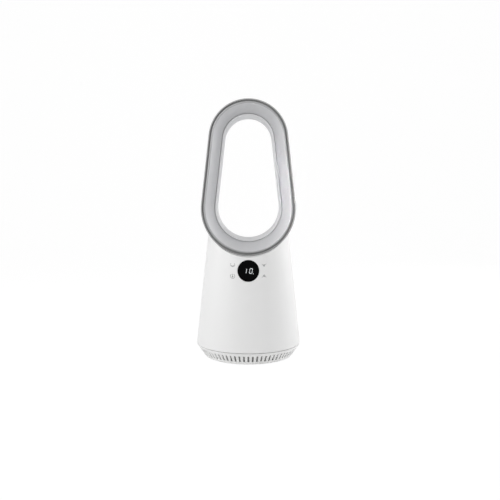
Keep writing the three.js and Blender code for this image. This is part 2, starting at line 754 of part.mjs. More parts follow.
// Points of a quarter of an ellipse from [x0, y0], level with the centre, to [x1, y1].
function quarter(x0, y0, x1, y1, steps) {
  const points = [];
  for (let i = 0; i <= steps; i++) {
    const turn = (Math.PI / 2) * (i / steps);
    points.push([x1 + (x0 - x1) * Math.cos(turn), y0 + (y1 - y0) * Math.sin(turn)]);
  }
  return points;
}

const backRoundStart = loopBack - backRoundDepth;
const backRoundEdge = backSeamOffset - 3; // where the rounding of the outer wall ends
const beadStart = loopWall + grooveWidth;
const slopeStart = beadStart + flareBead;
const slopeFront = loopFront + flareStep;
const slopeEnd = slopeStart + flareWidth;
const slopeBack = slopeFront + flareDepth;
const slotOffset = slopeEnd + 0.8; // the flare's innermost line
const tunnelFront = slotOffset + airSlot;
const tunnelFace = tunnelFront + tunnelLip;
const grooveFloor = loopFront + grooveDepth;

function loopShellSection() {
  return [
    [loopEdge, loopFront],
    [0, loopFront + loopEdge],
    ...quarter(0, backRoundStart, backRoundEdge, loopBack, 3),
    [backSeamOffset, loopBack],
    [backSeamOffset, loopBack - loopWall],
    ...quarter(loopWall, backRoundStart, backRoundEdge, loopBack - loopWall, 2).reverse(),
    [loopWall, loopFront + loopEdge],
    [loopWall - loopEdge, loopFront],
  ];
}

function makeLoopShell() {
  const inside = loopBlock(loopWall / 2, loopFront, loopBack);
  const reach = loopFoot + loopLowerRadius / 3; // well above the wall that the neck leaves
  let shell = loopSweep(loopShellSection());
  const neck = washer(neckInner, neckRadius, neckBottom, reach, { facets: fanFacets });
  shell = shell.add(neck.subtract(inside));
  shell = shell.subtract(rod(neckInner, neckBottom - 1, reach, { facets: fanFacets }));
  for (const [x, y] of loopScrewPlaces()) {
    const foot = wallZ(x, 0);
    const boss = rod(loopScrewBoss, foot - 12, foot + loopBossHeight, { x, y, facets: bossFacets });
    const holeTop = foot + loopBossHeight - 2;
    const hole = rod(screwRadius + screwGap, foot - 14, holeTop, { x, y, facets: screwFacets });
    shell = shell.add(boss.intersect(inside)).subtract(hole);
  }
  return shell;
}

// Height of the loop's lower outline, moved inwards by an offset, at a distance from the middle.
function wallZ(x, offset) {
  const radius = loopLowerRadius - offset;
  return lowerCentreZ - Math.sqrt(radius * radius - x * x);
}

function loopScrewPlaces() {
  return [[-1, -1], [1, -1], [1, 1], [-1, 1]].map(([a, b]) => [a * loopScrewX, b * loopScrewY]);
}

// The flare: a bead at the front, a crowned slope, and a curl behind the air slot.
function flareSection() {
  const slope = [];
  const steps = 2;
  const run = new THREE.Vector2(flareWidth, flareDepth);
  const bulge = new THREE.Vector2(run.y, -run.x).normalize();
  for (let i = 0; i <= steps; i++) {
    const share = i / steps;
    const rise = 4 * flareCrown * share * (1 - share);
    slope.push([slopeStart + run.x * share + bulge.x * rise, slopeFront + run.y * share + bulge.y * rise]);
  }
  const backOfSlope = [bulge.x * -flareWall, bulge.y * -flareWall];
  const edge = 0.7;
  return [
    [loopWall + seatGap, grooveFloor + flareWall],
    [loopWall + seatGap, grooveFloor],
    [beadStart, grooveFloor],
    [beadStart, loopFront + 2 * edge],
    [beadStart + edge, loopFront + seatGap],
    [slopeStart - edge, loopFront + seatGap],
    ...slope,
    [slotOffset, slopeBack + 1.8],
    [slotOffset - slotCurl / 2, slopeBack + slotCurl],
    [slopeEnd + backOfSlope[0], slopeBack + backOfSlope[1]],
    [beadStart + flareWall, slopeFront + flareWall + 1.6],
    [beadStart + flareWall, grooveFloor + flareWall],
  ];
}

function makeLoopTrim() {
  const inner = loopWall + seatGap;
  const outer = beadStart - seatGap;
  const back = grooveFloor - seatGap;
  const front = back - trimThickness;
  return loopSweep([[inner, front], [outer, front], [outer, back], [inner, back]]);
}

// The tunnel: the inner wall of the loop, from the air slot to the seam at the back.
function tunnelSection() {
  const face = tunnelFace + tunnelDraft;
  const seam = backSeamOffset + seatGap;
  const roundEdge = seam + 4;
  return [
    [tunnelFront, slopeBack],
    [tunnelFace, slopeBack],
    ...quarter(face, backRoundStart, roundEdge, loopBack, 3),
    [seam, loopBack],
    [seam, loopBack - loopWall],
    ...quarter(face - tunnelWall, backRoundStart, roundEdge, loopBack - loopWall, 2).reverse(),
    [tunnelFront, slopeBack + 20],
  ];
}

function makeLoopScrew([x, y]) {
  const head = wallZ(x, -loopGap - saddleWall) - saddleBossDrop / 2 - seatGap - screwHeadHeight;
  return screw(x, y, head, false, 24);
}

// ---------------------------------------------------------------- body shell
function bodyRadiusAt(z) {
  return bodyBottomRadius - Math.tan(bodyTaper) * (z - bodyBottom);
}

function bodyInnerRadius(z) {
  return bodyRadiusAt(z) - bodyWall / Math.cos(bodyTaper);
}

function bodyCone(z0, z1, radiusAt, facets = bodyFacets) {
  return turned([[0, z0], [radiusAt(z0), z0], [radiusAt(z1), z1], [0, z1]], facets);
}

// A place on the body's front surface: x sideways, up along the slope, in inwards from it.
const displayTilt = new THREE.Matrix4()
  .makeTranslation(0, -bodyRadiusAt(displayHeight), displayHeight)
  .multiply(new THREE.Matrix4().makeRotationX(-bodyTaper));

function tilted(made) {
  const geometry = geometryOf(made);
  geometry.applyMatrix4(displayTilt);
  return solid(geometry);
}

const boardBossX = 30;
const boardBossZ = 20;

function makeBodyShell() {
  const past = bodyBottomRadius + 10;
  const outer = bodyCone(bodyBottom, shoulderTop, bodyRadiusAt).subtract(loopBlock(-loopGap, -past, past));
  const hollow = bodyCone(bodyBottom - 5, shoulderTop - saddleWall, bodyInnerRadius, hollowFacets);
  const inner = hollow.subtract(loopBlock(-loopGap - saddleWall, -past, past));
  let shell = outer.subtract(inner);
  for (const degrees of shellBossAngles) {
    const angle = THREE.MathUtils.degToRad(degrees);
    const bottom = turntableTop + seatGap;
    const top = bottom + shellBossHeight;
    const reach = bodyRadiusAt(top) - 1;
    let boss = rod(shellBossRadius, bottom, top, { x: shellBossCircle, facets: bossFacets });
    boss = boss.add(box(shellBossCircle, reach, -1.5, 1.5, bottom, top));
    const at = { x: shellBossCircle, facets: screwFacets };
    boss = boss.subtract(rod(screwRadius + screwGap, bottom - 1, top - 2, at));
    shell = shell.add(turnedAboutZ(boss, angle));
  }
  for (const [x, y] of loopScrewPlaces()) {
    const bottom = wallZ(x, -loopGap - saddleWall) - saddleBossDrop / 2;
    const boss = rod(saddleBossRadius, bottom, bottom + saddleBossDrop + 6, { x, y, facets: bossFacets });
    const hole = rod(screwRadius + screwGap, bottom - 1, bottom + 30, { x, y, facets: screwFacets });
    shell = shell.add(boss.subtract(loopBlock(-loopGap, -past, past))).subtract(hole);
  }
  for (const x of [-boardBossX, boardBossX]) {
    for (const z of [-boardBossZ, boardBossZ]) {
      const boss = crossRod(2.5, bodyWall + 1.2, displayBoardDepth - seatGap, x, z, bossFacets);
      shell = shell.add(tilted(boss));
    }
  }
  const windowHole = crossRod(windowDiameter / 2 + windowGap, -8, displayBoardDepth, 0, 0, baseFacets);
  shell = shell.subtract(tilted(windowHole));
  const neckHole = rod(neckRadius + 0.5, loopFoot - saddleWall - 5, shoulderTop, { facets: fanFacets });
  return shell.subtract(neckHole);
}

function makeShellScrew(degrees) {
  const [x, y] = onCircle(shellBossCircle, degrees);
  return screw(x, y, turntableBottom - seatGap - screwHeadHeight, false, 18);
}

// ---------------------------------------------------------------- display and touch keys
function makeDisplayWindow() {
  const low = displayHeight - windowDiameter;
  const high = displayHeight + windowDiameter;
  const thin = (z) => bodyRadiusAt(z) - windowThickness / Math.cos(bodyTaper);
  const skin = bodyCone(low, high, bodyRadiusAt).subtract(bodyCone(low - 1, high + 1, thin));
  return skin.intersect(tilted(crossRod(windowDiameter / 2, -8, displayBoardDepth, 0, 0, baseFacets)));
}

const boardFront = displayBoardDepth - seatGap;

// The board carries one sprung pad for each touch key, close behind the body's wall.
function makeDisplayBoard() {
  const halfWidth = displayBoardWidth / 2;
  const halfHeight = displayBoardHeight / 2;
  const back = displayBoardDepth + boardThickness;
  let board = box(-halfWidth, halfWidth, displayBoardDepth, back, -halfHeight, halfHeight);
  const far = keySpacingX + touchPadRadius;
  const sag = (far * far) / (2 * bodyInnerRadius(displayHeight + keySpacingZ));
  const padFront = bodyWall + sag + 2 * seatGap;
  for (const x of [-keySpacingX, keySpacingX]) {
    for (const z of [-keySpacingZ, keySpacingZ]) {
      const pad = crossRod(touchPadRadius, padFront, displayBoardDepth + 0.5, x, z, bossFacets);
      board = board.add(pad);
    }
  }
  return tilted(board);
}

function makeDigitModule() {
  const halfWidth = digitModuleWidth / 2;
  const halfHeight = digitModuleHeight / 2;
  const sag = (halfWidth * halfWidth) / (2 * bodyRadiusAt(displayHeight));
  const front = windowThickness + sag + seatGap + 0.2;
  return tilted(box(-halfWidth, halfWidth, front, boardFront, -halfHeight, halfHeight));
}

function makeRemoteReceiver() {
  return tilted(box(digitModuleWidth / 2 + 1.5, digitModuleWidth / 2 + 6.5, 6.5, boardFront, -6, 0));
}

// ---------------------------------------------------------------- fan unit
// Inner radius of the shroud at a height between the throat and the top of the impeller.
function shroudAt(z) {
  const share = THREE.MathUtils.clamp((z - throatZ) / shroudRise, 0, 1);
  return throatRadius + (shroudRadius - throatRadius) * share;
}

function makeFanHousing() {
  const mouth = quarter(throatRadius, throatZ - 2, bellMouthRadius, bellMouthZ, 3);
  const mouthBack = bellMouthZ + housingWall;
  const backOfMouth = quarter(throatRadius + housingWall, throatZ - 1, bellMouthRadius, mouthBack, 2);
  let housing = turned(
    [...mouth.reverse(), [throatRadius, throatZ], [shroudRadius, shroudTopZ], [shroudRadius, diffuserSeatZ],
     [housingInner, diffuserSeatZ], [housingInner, housingTop], [housingOuter, housingTop],
     [housingOuter, diffuserSeatZ - housingWall], [shroudRadius + housingWall, shroudTopZ - 2],
     ...backOfMouth],
    fanFacets,
  );
  for (const degrees of damperAngles) {
    const angle = THREE.MathUtils.degToRad(degrees);
    const top = earBottom + earThickness;
    const root = shroudAt((earBottom + top) / 2) + housingWall / 2;
    let ear = box(root, damperPostCircle, -earWidth / 2, earWidth / 2, earBottom, top);
    ear = ear.add(rod(earWidth / 2, earBottom, top, { x: damperPostCircle, facets: 12 }));
    const at = { x: damperPostCircle, facets: bossFacets };
    ear = ear.subtract(rod(damperPinRadius + screwGap, earBottom - 1, top + 1, at));
    housing = housing.add(turnedAboutZ(ear, angle));
  }
  for (const [x, z] of boardPosts()) {
    const start = Math.sqrt(housingOuter * housingOuter - x * x) - 1.2;
    housing = housing.add(crossRod(3.5, start, controlBoardFront - seatGap, x, z, bossFacets));
  }
  const leadHole = wireRadius + screwGap;
  return housing.subtract(
    crossRod(leadHole, housingInner - 4, controlBoardFront, 0, motorLeadZ, bossFacets),
  );
}

// A thin blade between two radii, from a low to a high level, turning as it rises.
function blade(low, high, innerAt, outerAt, sweep, start) {
  const rows = 3;
  const position = [];
  for (let i = 0; i <= rows; i++) {
    const share = i / rows;
    const z = low + (high - low) * share;
    const angle = start + sweep * share * (1.5 - 0.5 * share);
    for (const [radius, side] of [[innerAt(z), -1], [outerAt(z), -1], [outerAt(z), 1], [innerAt(z), 1]]) {
      const turn = angle + (side * bladeThickness) / 2 / radius;
      position.push(radius * Math.cos(turn), radius * Math.sin(turn), z);
    }
  }
  const index = [0, 1, 2, 0, 2, 3];
  for (let i = 0; i < rows; i++) {
    for (let j = 0; j < 4; j++) {
      const a = i * 4 + j;
      const b = i * 4 + ((j + 1) % 4);
      index.push(a, a + 4, b + 4, a, b + 4, b);
    }
  }
  const end = rows * 4;
  index.push(end, end + 2, end + 1, end, end + 3, end + 2);
  const geometry = new THREE.BufferGeometry();
  geometry.setAttribute('position', new THREE.Float32BufferAttribute(position, 3));
  geometry.setIndex(index);
  return solid(geometry);
}

function hubAt(z) {
  const share = THREE.MathUtils.clamp((z - impellerBottom - 6) / (impellerTop - impellerBottom - 6), 0, 1);
  return hubNoseRadius + (hubBackRadius - hubNoseRadius) * share;
}

function makeImpeller() {
  const slant = hubWall * 1.2;
  const neck = impellerBottom + 6;
  let impeller = turned(
    [[hubBore, impellerBottom], [hubNoseRadius - 6, impellerBottom], [hubNoseRadius, neck],
     [hubBackRadius, impellerTop - 1.6], [hubBackRadius, impellerTop], [hubBackRadius - slant, impellerTop],
     [hubNoseRadius - 1, neck + slant], [hubSleeve, neck + slant],
     [hubSleeve, impellerBottom + hubSleeveLength], [hubBore, impellerBottom + hubSleeveLength]],
    fanFacets,
  );
  const low = throatZ + bladeRise;
  const high = impellerTop - bladeDrop;
  for (let i = 0; i < impellerBlades; i++) {
    const start = (2 * Math.PI * (i + bladePhase)) / impellerBlades;
    const root = (z) => hubAt(z) - bladeRoot;
    const tip = (z) => shroudAt(z) - tipGap;
    impeller = impeller.add(blade(low, high, root, tip, bladeSweep, start));
  }
  return impeller;
}

function makeImpellerNut() {
  const top = impellerBottom - seatGap;
  const profile = [[hubBore, top - 6], [6, top - 6], [8, top - 3], [8, top], [hubBore, top]];
  return turned(profile, smallFacets);
}

const statorBottom = diffuserFloorTop + 9;
const statorTop = statorBottom + statorHeight;
const bearingTubeBottom = diffuserBottom - 1.5;
const bearingTubeTop = statorTop + 10;
const rotorCeiling = bearingTubeTop + 0.6;
const shaftBottom = impellerBottom - 7;
const shaftTop = rotorCeiling + rotorWall + rotorCollar;

function makeImpellerShaft() {
  return rod(shaftRadius, shaftBottom, shaftTop, { facets: 16 });
}

function makeDiffuser() {
  const ringInner = shroudRadius + seatGap;
  const ringOuter = housingInner - seatGap;
  const cupInner = diffuserHubRadius - diffuserWall;
  const hole = bearingTubeRadius + seatGap;
  let diffuser = turned(
    [[hole, diffuserBottom], [diffuserHubRadius, diffuserBottom], [diffuserHubRadius, cupTop],
     [cupInner, cupTop], [cupInner, diffuserFloorTop], [hole, diffuserFloorTop]],
    fanFacets,
  );
  const ringTopZ = diffuserBottom + diffuserRingHeight;
  const ring = washer(ringInner, ringOuter, diffuserBottom, ringTopZ, { facets: fanFacets });
  for (let i = 0; i < diffuserVanes; i++) {
    const start = (2 * Math.PI * (i + 0.5)) / diffuserVanes;
    const vane = blade(diffuserBottom + 2, ringTopZ - 2, () => diffuserHubRadius - 1, () => ringInner + 1,
      vaneSweep, start);
    diffuser = diffuser.add(vane);
  }
  diffuser = diffuser.add(ring);
  const leadHole = wireRadius + 2 * screwGap;
  return diffuser.subtract(
    crossRod(leadHole, cupInner - 4, housingInner, 0, motorLeadZ, bossFacets),
  );
}

const motorLeadZ = cupTop - 4;

function makeBearingTube() {
  const inner = bearingTubeRadius - bearingTubeWall;
  const flangeBottom = diffuserFloorTop + seatGap;
  const flangeTop = flangeBottom + 2;
  return turned(
    [[inner, bearingTubeBottom], [bearingTubeRadius, bearingTubeBottom],
     [bearingTubeRadius, flangeBottom], [bearingTubeRadius + bearingFlange, flangeBottom],
     [bearingTubeRadius + bearingFlange, flangeTop], [bearingTubeRadius, flangeTop],
     [bearingTubeRadius, bearingTubeTop], [inner, bearingTubeTop]],
    smallFacets,
  );
}

function makeBearing(bottom) {
  const outer = bearingTubeRadius - bearingTubeWall - seatGap;
  return washer(hubBore, outer, bottom, bottom + bearingWidth);
}

const motorBoardBottom = diffuserFloorTop + 2 * seatGap + 2;

function makeMotorBoard() {
  const top = motorBoardBottom + boardThickness;
  const outer = statorRadius - 1;
  return washer(bearingTubeRadius + seatGap, outer, motorBoardBottom, top, { facets: rotorFacets });
}

const statorTooth = 4.4; // width of a stator tooth
const statorYoke = 13; // radius of the ring that the teeth grow from
const statorShoe = 2.5; // thickness of the shoe at the end of a tooth
const coilOverhang = 3.2; // above the stator
const coilBuild = 1.6; // thickness of a coil on each side of its tooth
const coilInset = 3; // inside the stator's edge
const shoeHalf = 6.6;
const shoeFace = Math.sqrt(statorRadius * statorRadius - shoeHalf * shoeHalf);

function makeStatorCore() {
  let core = washer(bearingTubeRadius + seatGap, statorYoke, statorBottom, statorTop, { facets: 12 });
  for (let i = 0; i < statorTeeth; i++) {
    const half = statorTooth / 2;
    const tooth = box(statorYoke - 1, statorRadius - 1, -half, half, statorBottom, statorTop);
    const crown = box(statorRadius - statorShoe, shoeFace, -shoeHalf, shoeHalf, statorBottom, statorTop);
    core = core.add(turnedAboutZ(tooth.add(crown), (2 * Math.PI * i) / statorTeeth));
  }
  return core;
}

// The coils sit on the teeth and share one insulating ring below them.
function makeStatorCoils() {
  const bottom = motorBoardBottom + boardThickness + seatGap;
  const coilTop = statorTop + coilOverhang;
  const outer = statorRadius - coilInset;
  let coils = washer(bearingTubeRadius + 1.5, outer, bottom, bottom + coilBuild, { facets: 12 });
  for (let i = 0; i < statorTeeth; i++) {
    const half = statorTooth / 2 + seatGap;
    const side = half + coilBuild;
    const block = box(statorYoke + 1, outer, -side, side, bottom + 1, coilTop);
    const room = box(statorYoke - 3, statorRadius, -half, half, statorBottom - seatGap, statorTop + seatGap);
    coils = coils.add(turnedAboutZ(block.subtract(room), (2 * Math.PI * i) / statorTeeth));
  }
  return coils;
}

const magnetInner = statorRadius + magnetGap;
const magnetOuter = magnetInner + magnetThickness;

function makeMagnetRing() {
  return washer(magnetInner, magnetOuter, statorBottom - 1.5, statorTop + 3, { facets: rotorFacets });
}

function makeRotorBell() {
  const inner = magnetOuter + seatGap;
  const outer = inner + rotorWall;
  const top = rotorCeiling + rotorWall;
  const profile = [[hubBore, rotorCeiling], [inner, rotorCeiling], [inner, statorBottom - 2.5],
    [outer, statorBottom - 2.5], [outer, top], [hubBore + 4, top], [hubBore + 4, shaftTop],
    [hubBore, shaftTop]];
  return turned(profile, rotorFacets);
}

function makeMotorCap() {
  const bottom = cupTop + seatGap;
  const crown = quarter(diffuserHubRadius, bottom, 0, bottom + motorCapHeight, 3);
  const ceiling = bottom + motorCapHeight - diffuserWall;
  const inner = quarter(diffuserHubRadius - diffuserWall, bottom, 0, ceiling, 3);
  const profile = [...inner.reverse(), ...crown];
  return turned(profile.map(([r, z]) => [r < 1e-9 ? 0 : r, z]), fanFacets);
}

// ---------------------------------------------------------------- duct between fan unit and loop
function makeOutletDuct() {
  const socket = housingOuter + screwGap;
  const neckSocket = neckRadius + gasketThickness + 2 * seatGap;
  const shoulder = housingTop + seatGap;
  const neckSeat = neckBottom - seatGap;
  const coneTop = neckSeat - 7;
  return turned(
    [[socket, ductBottom], [socket + ductWall, ductBottom], [socket + ductWall, shoulder + 2],
     [neckSocket + ductWall, coneTop + 6], [neckSocket + ductWall, neckSeat + ductNeckSocket],
     [neckSocket, neckSeat + ductNeckSocket], [neckSocket, neckSeat], [neckInner, neckSeat],
     [neckInner, coneTop], [housingInner, shoulder], [socket, shoulder]],
    fanFacets,
  );
}

function makeNeckGasket() {
  const inner = neckRadius + seatGap;
  const bottom = neckBottom;
  return washer(inner, inner + gasketThickness, bottom, bottom + ductNeckSocket - 2, { facets: fanFacets });
}

// ---------------------------------------------------------------- control board and leads
const controlBoardFront = housingOuter + controlBoardStandoff;
const controlBoardBottom = bellMouthZ + controlBoardRise;
const controlBoardTop = controlBoardBottom + controlBoardHeight;
const plugDepth = 9; // sockets stand this far off the board
const plugRise = 2; // lower edge of the sockets above the board's lower edge
const socketWidth = 12;
const socketHeight = 8;
const mainsSocketX = -22;
const swingSocketX = 2;
const spareSocketX = 20;
const displaySocketX = 32; // outer end of the socket for the display's lead
const displaySocketWidth = 16;
const displaySocketHeight = 9;
const displaySocketInset = 3; // below the board's upper edge
const capacitorRadius = 6;
const capacitorHeight = 12;
const capacitorRise = 30;
const capacitorPlaces = [mainsSocketX, mainsSocketX + 2 * capacitorRadius + 4];
const postInset = 8; // of the board's posts from its sides

function boardPosts() {
  const x = controlBoardWidth / 2 - postInset;
  const low = controlBoardBottom + postInset - 1;
  const high = controlBoardTop - postInset + 1;
  return [[-x, low], [x, low], [x, high], [-x, high]];
}

function makeControlBoard() {
  const half = controlBoardWidth / 2;
  const back = controlBoardFront + boardThickness;
  let board = box(-half, half, controlBoardFront, back, controlBoardBottom, controlBoardTop);
  const socketLow = controlBoardBottom + plugRise;
  const side = socketWidth / 2;
  const socketHigh = socketLow + socketHeight;
  for (const x of [mainsSocketX, swingSocketX, spareSocketX]) {
    board = board.add(box(x - side, x + side, back - 0.5, back + plugDepth, socketLow, socketHigh));
  }
  const high = controlBoardTop - displaySocketInset;
  const inner = displaySocketX - displaySocketWidth;
  const low = high - displaySocketHeight;
  board = board.add(box(inner, displaySocketX, back - 0.5, back + plugDepth, low, high));
  const level = controlBoardBottom + capacitorRise;
  for (const x of capacitorPlaces) {
    board = board.add(crossRod(capacitorRadius, back - 0.5, back + capacitorHeight, x, level));
  }
  return board;
}

const plugBottom = controlBoardBottom + plugRise - seatGap;
const plugY = controlBoardFront + boardThickness + plugDepth / 2;

function makePowerLead() {
  const level = clampBarBottom + clampBar + powerLeadRadius + 2;
  const outside = housingOuter + 16;
  const aside = swingMotorEarReach + 22; // well past the swing motor
  const behind = bellMouthRadius + 2;
  return wire(
    [[0, 0, leadJointZ + seatGap / 2], [0, 0, level - 2], [-3, 2.5, level + 1],
     [-aside * 0.26, behind * 0.18, level + 1.2], [-aside * 0.74, behind * 0.59, level + 1.2],
     [-aside, behind, level + 1.5], [-aside, outside - 8, level + 8], [8 - aside, outside, level + 30],
     [mainsSocketX - 2, plugY + 1, plugBottom - 20],
     [mainsSocketX, plugY, plugBottom - 7], [mainsSocketX, plugY, plugBottom]],
    powerLeadRadius,
    22,
    6,
  );
}

function makeSwingMotorLead() {
  const start = pinionDistance + swingMotorRadius + seatGap;
  const level = swingMotorTop - 4;
  return wire(
    [[0, start, level], [3, start + 8, level - 1], [swingMotorEarReach - 10, start + 22, level + 3],
     [swingMotorEarReach - 2, housingOuter + 14, level + 20], [16, plugY + 2, plugBottom - 24],
     [swingSocketX + 1, plugY, plugBottom - 8], [swingSocketX, plugY, plugBottom]],
    wireRadius,
    14,
    6,
  );
}

// From the control board through the barrel and the hub, then down beside the rotor.
function makeMotorLead() {
  const drop = (magnetOuter + diffuserHubRadius) / 2 + 0.5;
  const foot = motorBoardBottom + boardThickness / 2;
  return wire(
    [[0, controlBoardFront - seatGap, motorLeadZ], [0, (controlBoardFront + drop) / 2, motorLeadZ],
     [0, drop + 6, motorLeadZ],
     [0, drop + 2.2, motorLeadZ - 1.2], [0, drop, motorLeadZ - 6], [0, drop, foot + 12],
     [0, drop - 1.2, foot + 3.4], [0, drop - 5, foot + 0.3], [0, statorRadius - 1 + seatGap, foot]],
    wireRadius,
    20,
    6,
  );
}

function makeDisplayLead() {
  const startZ = controlBoardTop - displaySocketInset - displaySocketHeight / 2;
  const turns = [48, 20, -10, -40]; // degrees
  const round = turns.map((degrees, i) => {
    const level = startZ + 8 * (i + 1);
    return [...onCircle((housingOuter + bodyInnerRadius(level)) / 2, degrees), level];
  });
  const boardBack = displayBoardDepth + boardThickness + seatGap;
  const end = new THREE.Vector3(26, boardBack, 8).applyMatrix4(displayTilt);
  return wire(
    [[displaySocketX + seatGap, plugY, startZ], [displaySocketX + 8, plugY, startZ + 2], ...round,
     [34, end.y + 10, end.z - 1], [end.x, end.y + 3, end.z], end.toArray()],
    wireRadius,
    22,
    6,
  );
}

// ---------------------------------------------------------------- assembly
const base = new THREE.Group();
footAngles.forEach((degrees, i) => base.add(named(`foot_${i + 1}`, 'rubber', makeFoot(degrees))));
base.add(named('base_plate', 'whiteBase', makeBasePlate()));
base.add(named('base_grille', 'whiteBase', makeBaseGrille()));
base.add(named('slide_ring', 'ivoryPlastic', makeSlideRing()));
base.add(named('power_inlet', 'blackPlastic', makePowerInlet()));
base.add(named('mains_lead', 'blackWire', makeMainsLead()));
base.add(named('swing_gear', 'ivoryPlastic', makeSwingGear()));
base.add(named('pivot_nut', 'steel', makePivotNut()));
baseScrewAngles.forEach((degrees, i) => {
  const [x, y] = onCircle(baseScrewCircle, degrees);
  base.add(named(`base_screw_${i + 1}`, 'steel', screw(x, y, ringBottom + seatGap, false, 8)));
});

const pinion = new THREE.Group();
pinion.add(named('swing_pinion', 'brass', makeSwingPinion()));

const upper = new THREE.Group();
upper.add(named('turntable', 'whiteBase', makeTurntable()));
upper.add(named('swing_motor', 'steel', makeSwingMotor()));
[-1, 1].forEach((side, i) => {
  upper.add(named(`swing_motor_screw_${i + 1}`, 'steel', makeSwingMotorScrew(side)));
});
upper.add(named('lead_clamp', 'greyPlastic', makeLeadClamp()));
damperAngles.forEach((degrees, i) => upper.add(named(`damper_${i + 1}`, 'rubber', makeDamper(degrees))));
upper.add(named('body_shell', 'whiteShell', makeBodyShell()));
shellBossAngles.forEach((degrees, i) => {
  upper.add(named(`shell_screw_${i + 1}`, 'steel', makeShellScrew(degrees)));
});
upper.add(named('fan_housing', 'greyPlastic', makeFanHousing()));
upper.add(named('diffuser', 'greyPlastic', makeDiffuser()));
upper.add(named('bearing_tube', 'brass', makeBearingTube()));
upper.add(named('bearing_lower', 'steel', makeBearing(bearingTubeBottom + 1)));
upper.add(named('bearing_upper', 'steel', makeBearing(bearingTubeTop - bearingWidth - 1)));
upper.add(named('motor_board', 'circuitBoard', makeMotorBoard()));
upper.add(named('stator_core', 'laminations', makeStatorCore()));
upper.add(named('stator_coils', 'copper', makeStatorCoils()));
upper.add(named('motor_cap', 'greyPlastic', makeMotorCap()));
upper.add(named('outlet_duct', 'greyPlastic', makeOutletDuct()));
upper.add(named('neck_gasket', 'rubber', makeNeckGasket()));
upper.add(named('control_board', 'circuitBoard', makeControlBoard()));
upper.add(named('power_lead', 'blackWire', makePowerLead()));
upper.add(named('swing_motor_lead', 'blackWire', makeSwingMotorLead()));
upper.add(named('motor_lead', 'blackWire', makeMotorLead()));
upper.add(named('display_lead', 'blackWire', makeDisplayLead()));
upper.add(named('display_window', 'blackGloss', makeDisplayWindow()));
upper.add(named('display_board', 'circuitBoard', makeDisplayBoard()));
upper.add(named('digit_module', 'blackPlastic', makeDigitModule()));
upper.add(named('remote_receiver', 'blackPlastic', makeRemoteReceiver()));
upper.add(named('loop_shell', 'silverLoop', makeLoopShell()));
upper.add(named('loop_flare', 'silverLoop', loopSweep(flareSection())));
upper.add(named('loop_tunnel', 'silverLoop', loopSweep(tunnelSection())));
upper.add(named('loop_trim', 'darkTrim', makeLoopTrim()));
loopScrewPlaces().forEach((place, i) => {
  upper.add(named(`loop_screw_${i + 1}`, 'steel', makeLoopScrew(place)));
});

const rotor = new THREE.Group();
rotor.add(named('impeller', 'ivoryPlastic', makeImpeller()));
rotor.add(named('impeller_nut', 'brass', makeImpellerNut()));
rotor.add(named('impeller_shaft', 'steel', makeImpellerShaft()));
rotor.add(named('rotor_bell', 'steel', makeRotorBell()));
rotor.add(named('magnet_ring', 'ferrite', makeMagnetRing()));

upper.add(pinion, rotor);
const fan = new THREE.Group();
fan.add(base, upper);

export default fan;
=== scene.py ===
"""A bladeless fan: the visible pieces, their finishes and the studio round them."""

import json
import math

import bmesh
import bpy
from bpy.props import FloatProperty, FloatVectorProperty, IntProperty, PointerProperty
from bpy.types import Operator, Panel, PropertyGroup
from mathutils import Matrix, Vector

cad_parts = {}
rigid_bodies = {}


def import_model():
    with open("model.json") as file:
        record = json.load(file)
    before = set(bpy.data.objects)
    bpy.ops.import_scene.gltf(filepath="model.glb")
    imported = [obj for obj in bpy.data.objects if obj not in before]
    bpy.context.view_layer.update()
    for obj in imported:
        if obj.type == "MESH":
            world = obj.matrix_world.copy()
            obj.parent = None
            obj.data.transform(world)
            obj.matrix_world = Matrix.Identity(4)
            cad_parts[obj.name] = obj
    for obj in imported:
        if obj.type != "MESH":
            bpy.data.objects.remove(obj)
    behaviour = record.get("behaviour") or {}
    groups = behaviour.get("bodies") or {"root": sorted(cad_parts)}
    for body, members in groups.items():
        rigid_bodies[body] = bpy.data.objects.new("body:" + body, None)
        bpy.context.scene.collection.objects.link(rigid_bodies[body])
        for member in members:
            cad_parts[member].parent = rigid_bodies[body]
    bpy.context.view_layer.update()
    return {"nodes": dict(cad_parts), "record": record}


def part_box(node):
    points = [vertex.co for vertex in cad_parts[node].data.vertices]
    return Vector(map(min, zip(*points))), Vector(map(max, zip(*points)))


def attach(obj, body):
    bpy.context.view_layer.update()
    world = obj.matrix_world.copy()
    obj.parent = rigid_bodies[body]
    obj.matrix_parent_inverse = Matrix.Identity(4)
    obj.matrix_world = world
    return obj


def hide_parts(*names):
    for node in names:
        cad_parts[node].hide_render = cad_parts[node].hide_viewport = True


bl_info = {
    "name": "Bladeless Fan",
    "version": (1, 0, 0),
    "blender": (4, 5, 0),
    "location": "View3D > Sidebar > Fan",
    "description": "Builds a bladeless fan with its finishes and a small studio",
    "category": "Object",
}

for leftover in list(bpy.data.objects):
    bpy.data.objects.remove(leftover)
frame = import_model()

MM = 0.001
TURN = 2 * math.pi
WHITE = (1, 1, 1, 1)
SHARP_ANGLE = math.radians(32)
BODY_LOW, BODY_HIGH = (corner.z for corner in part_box("body_shell"))
WINDOW_MIDDLE = sum(corner.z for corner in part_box("display_window")) / 2
RING_LOW, RING_HIGH = (corner.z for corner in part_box("base_grille"))
INLET_LOW, INLET_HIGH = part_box("power_inlet")


# ---------------- sizes and colours
def length(name, description, default):
    return FloatProperty(
        name=name, description=description, default=default, min=0, unit="LENGTH",
        subtype="DISTANCE", precision=4,
    )


def tilt(name, description, degrees):
    return FloatProperty(
        name=name, description=description, default=math.radians(degrees), unit="ROTATION",
        subtype="ANGLE",
    )


def colour(name, description, default):
    return FloatVectorProperty(
        name=name, description=description, default=default, size=3, min=0, max=1,
        subtype="COLOR",
    )


def power(name, description, default):
    return FloatProperty(name=name, description=description, default=default, unit="POWER")


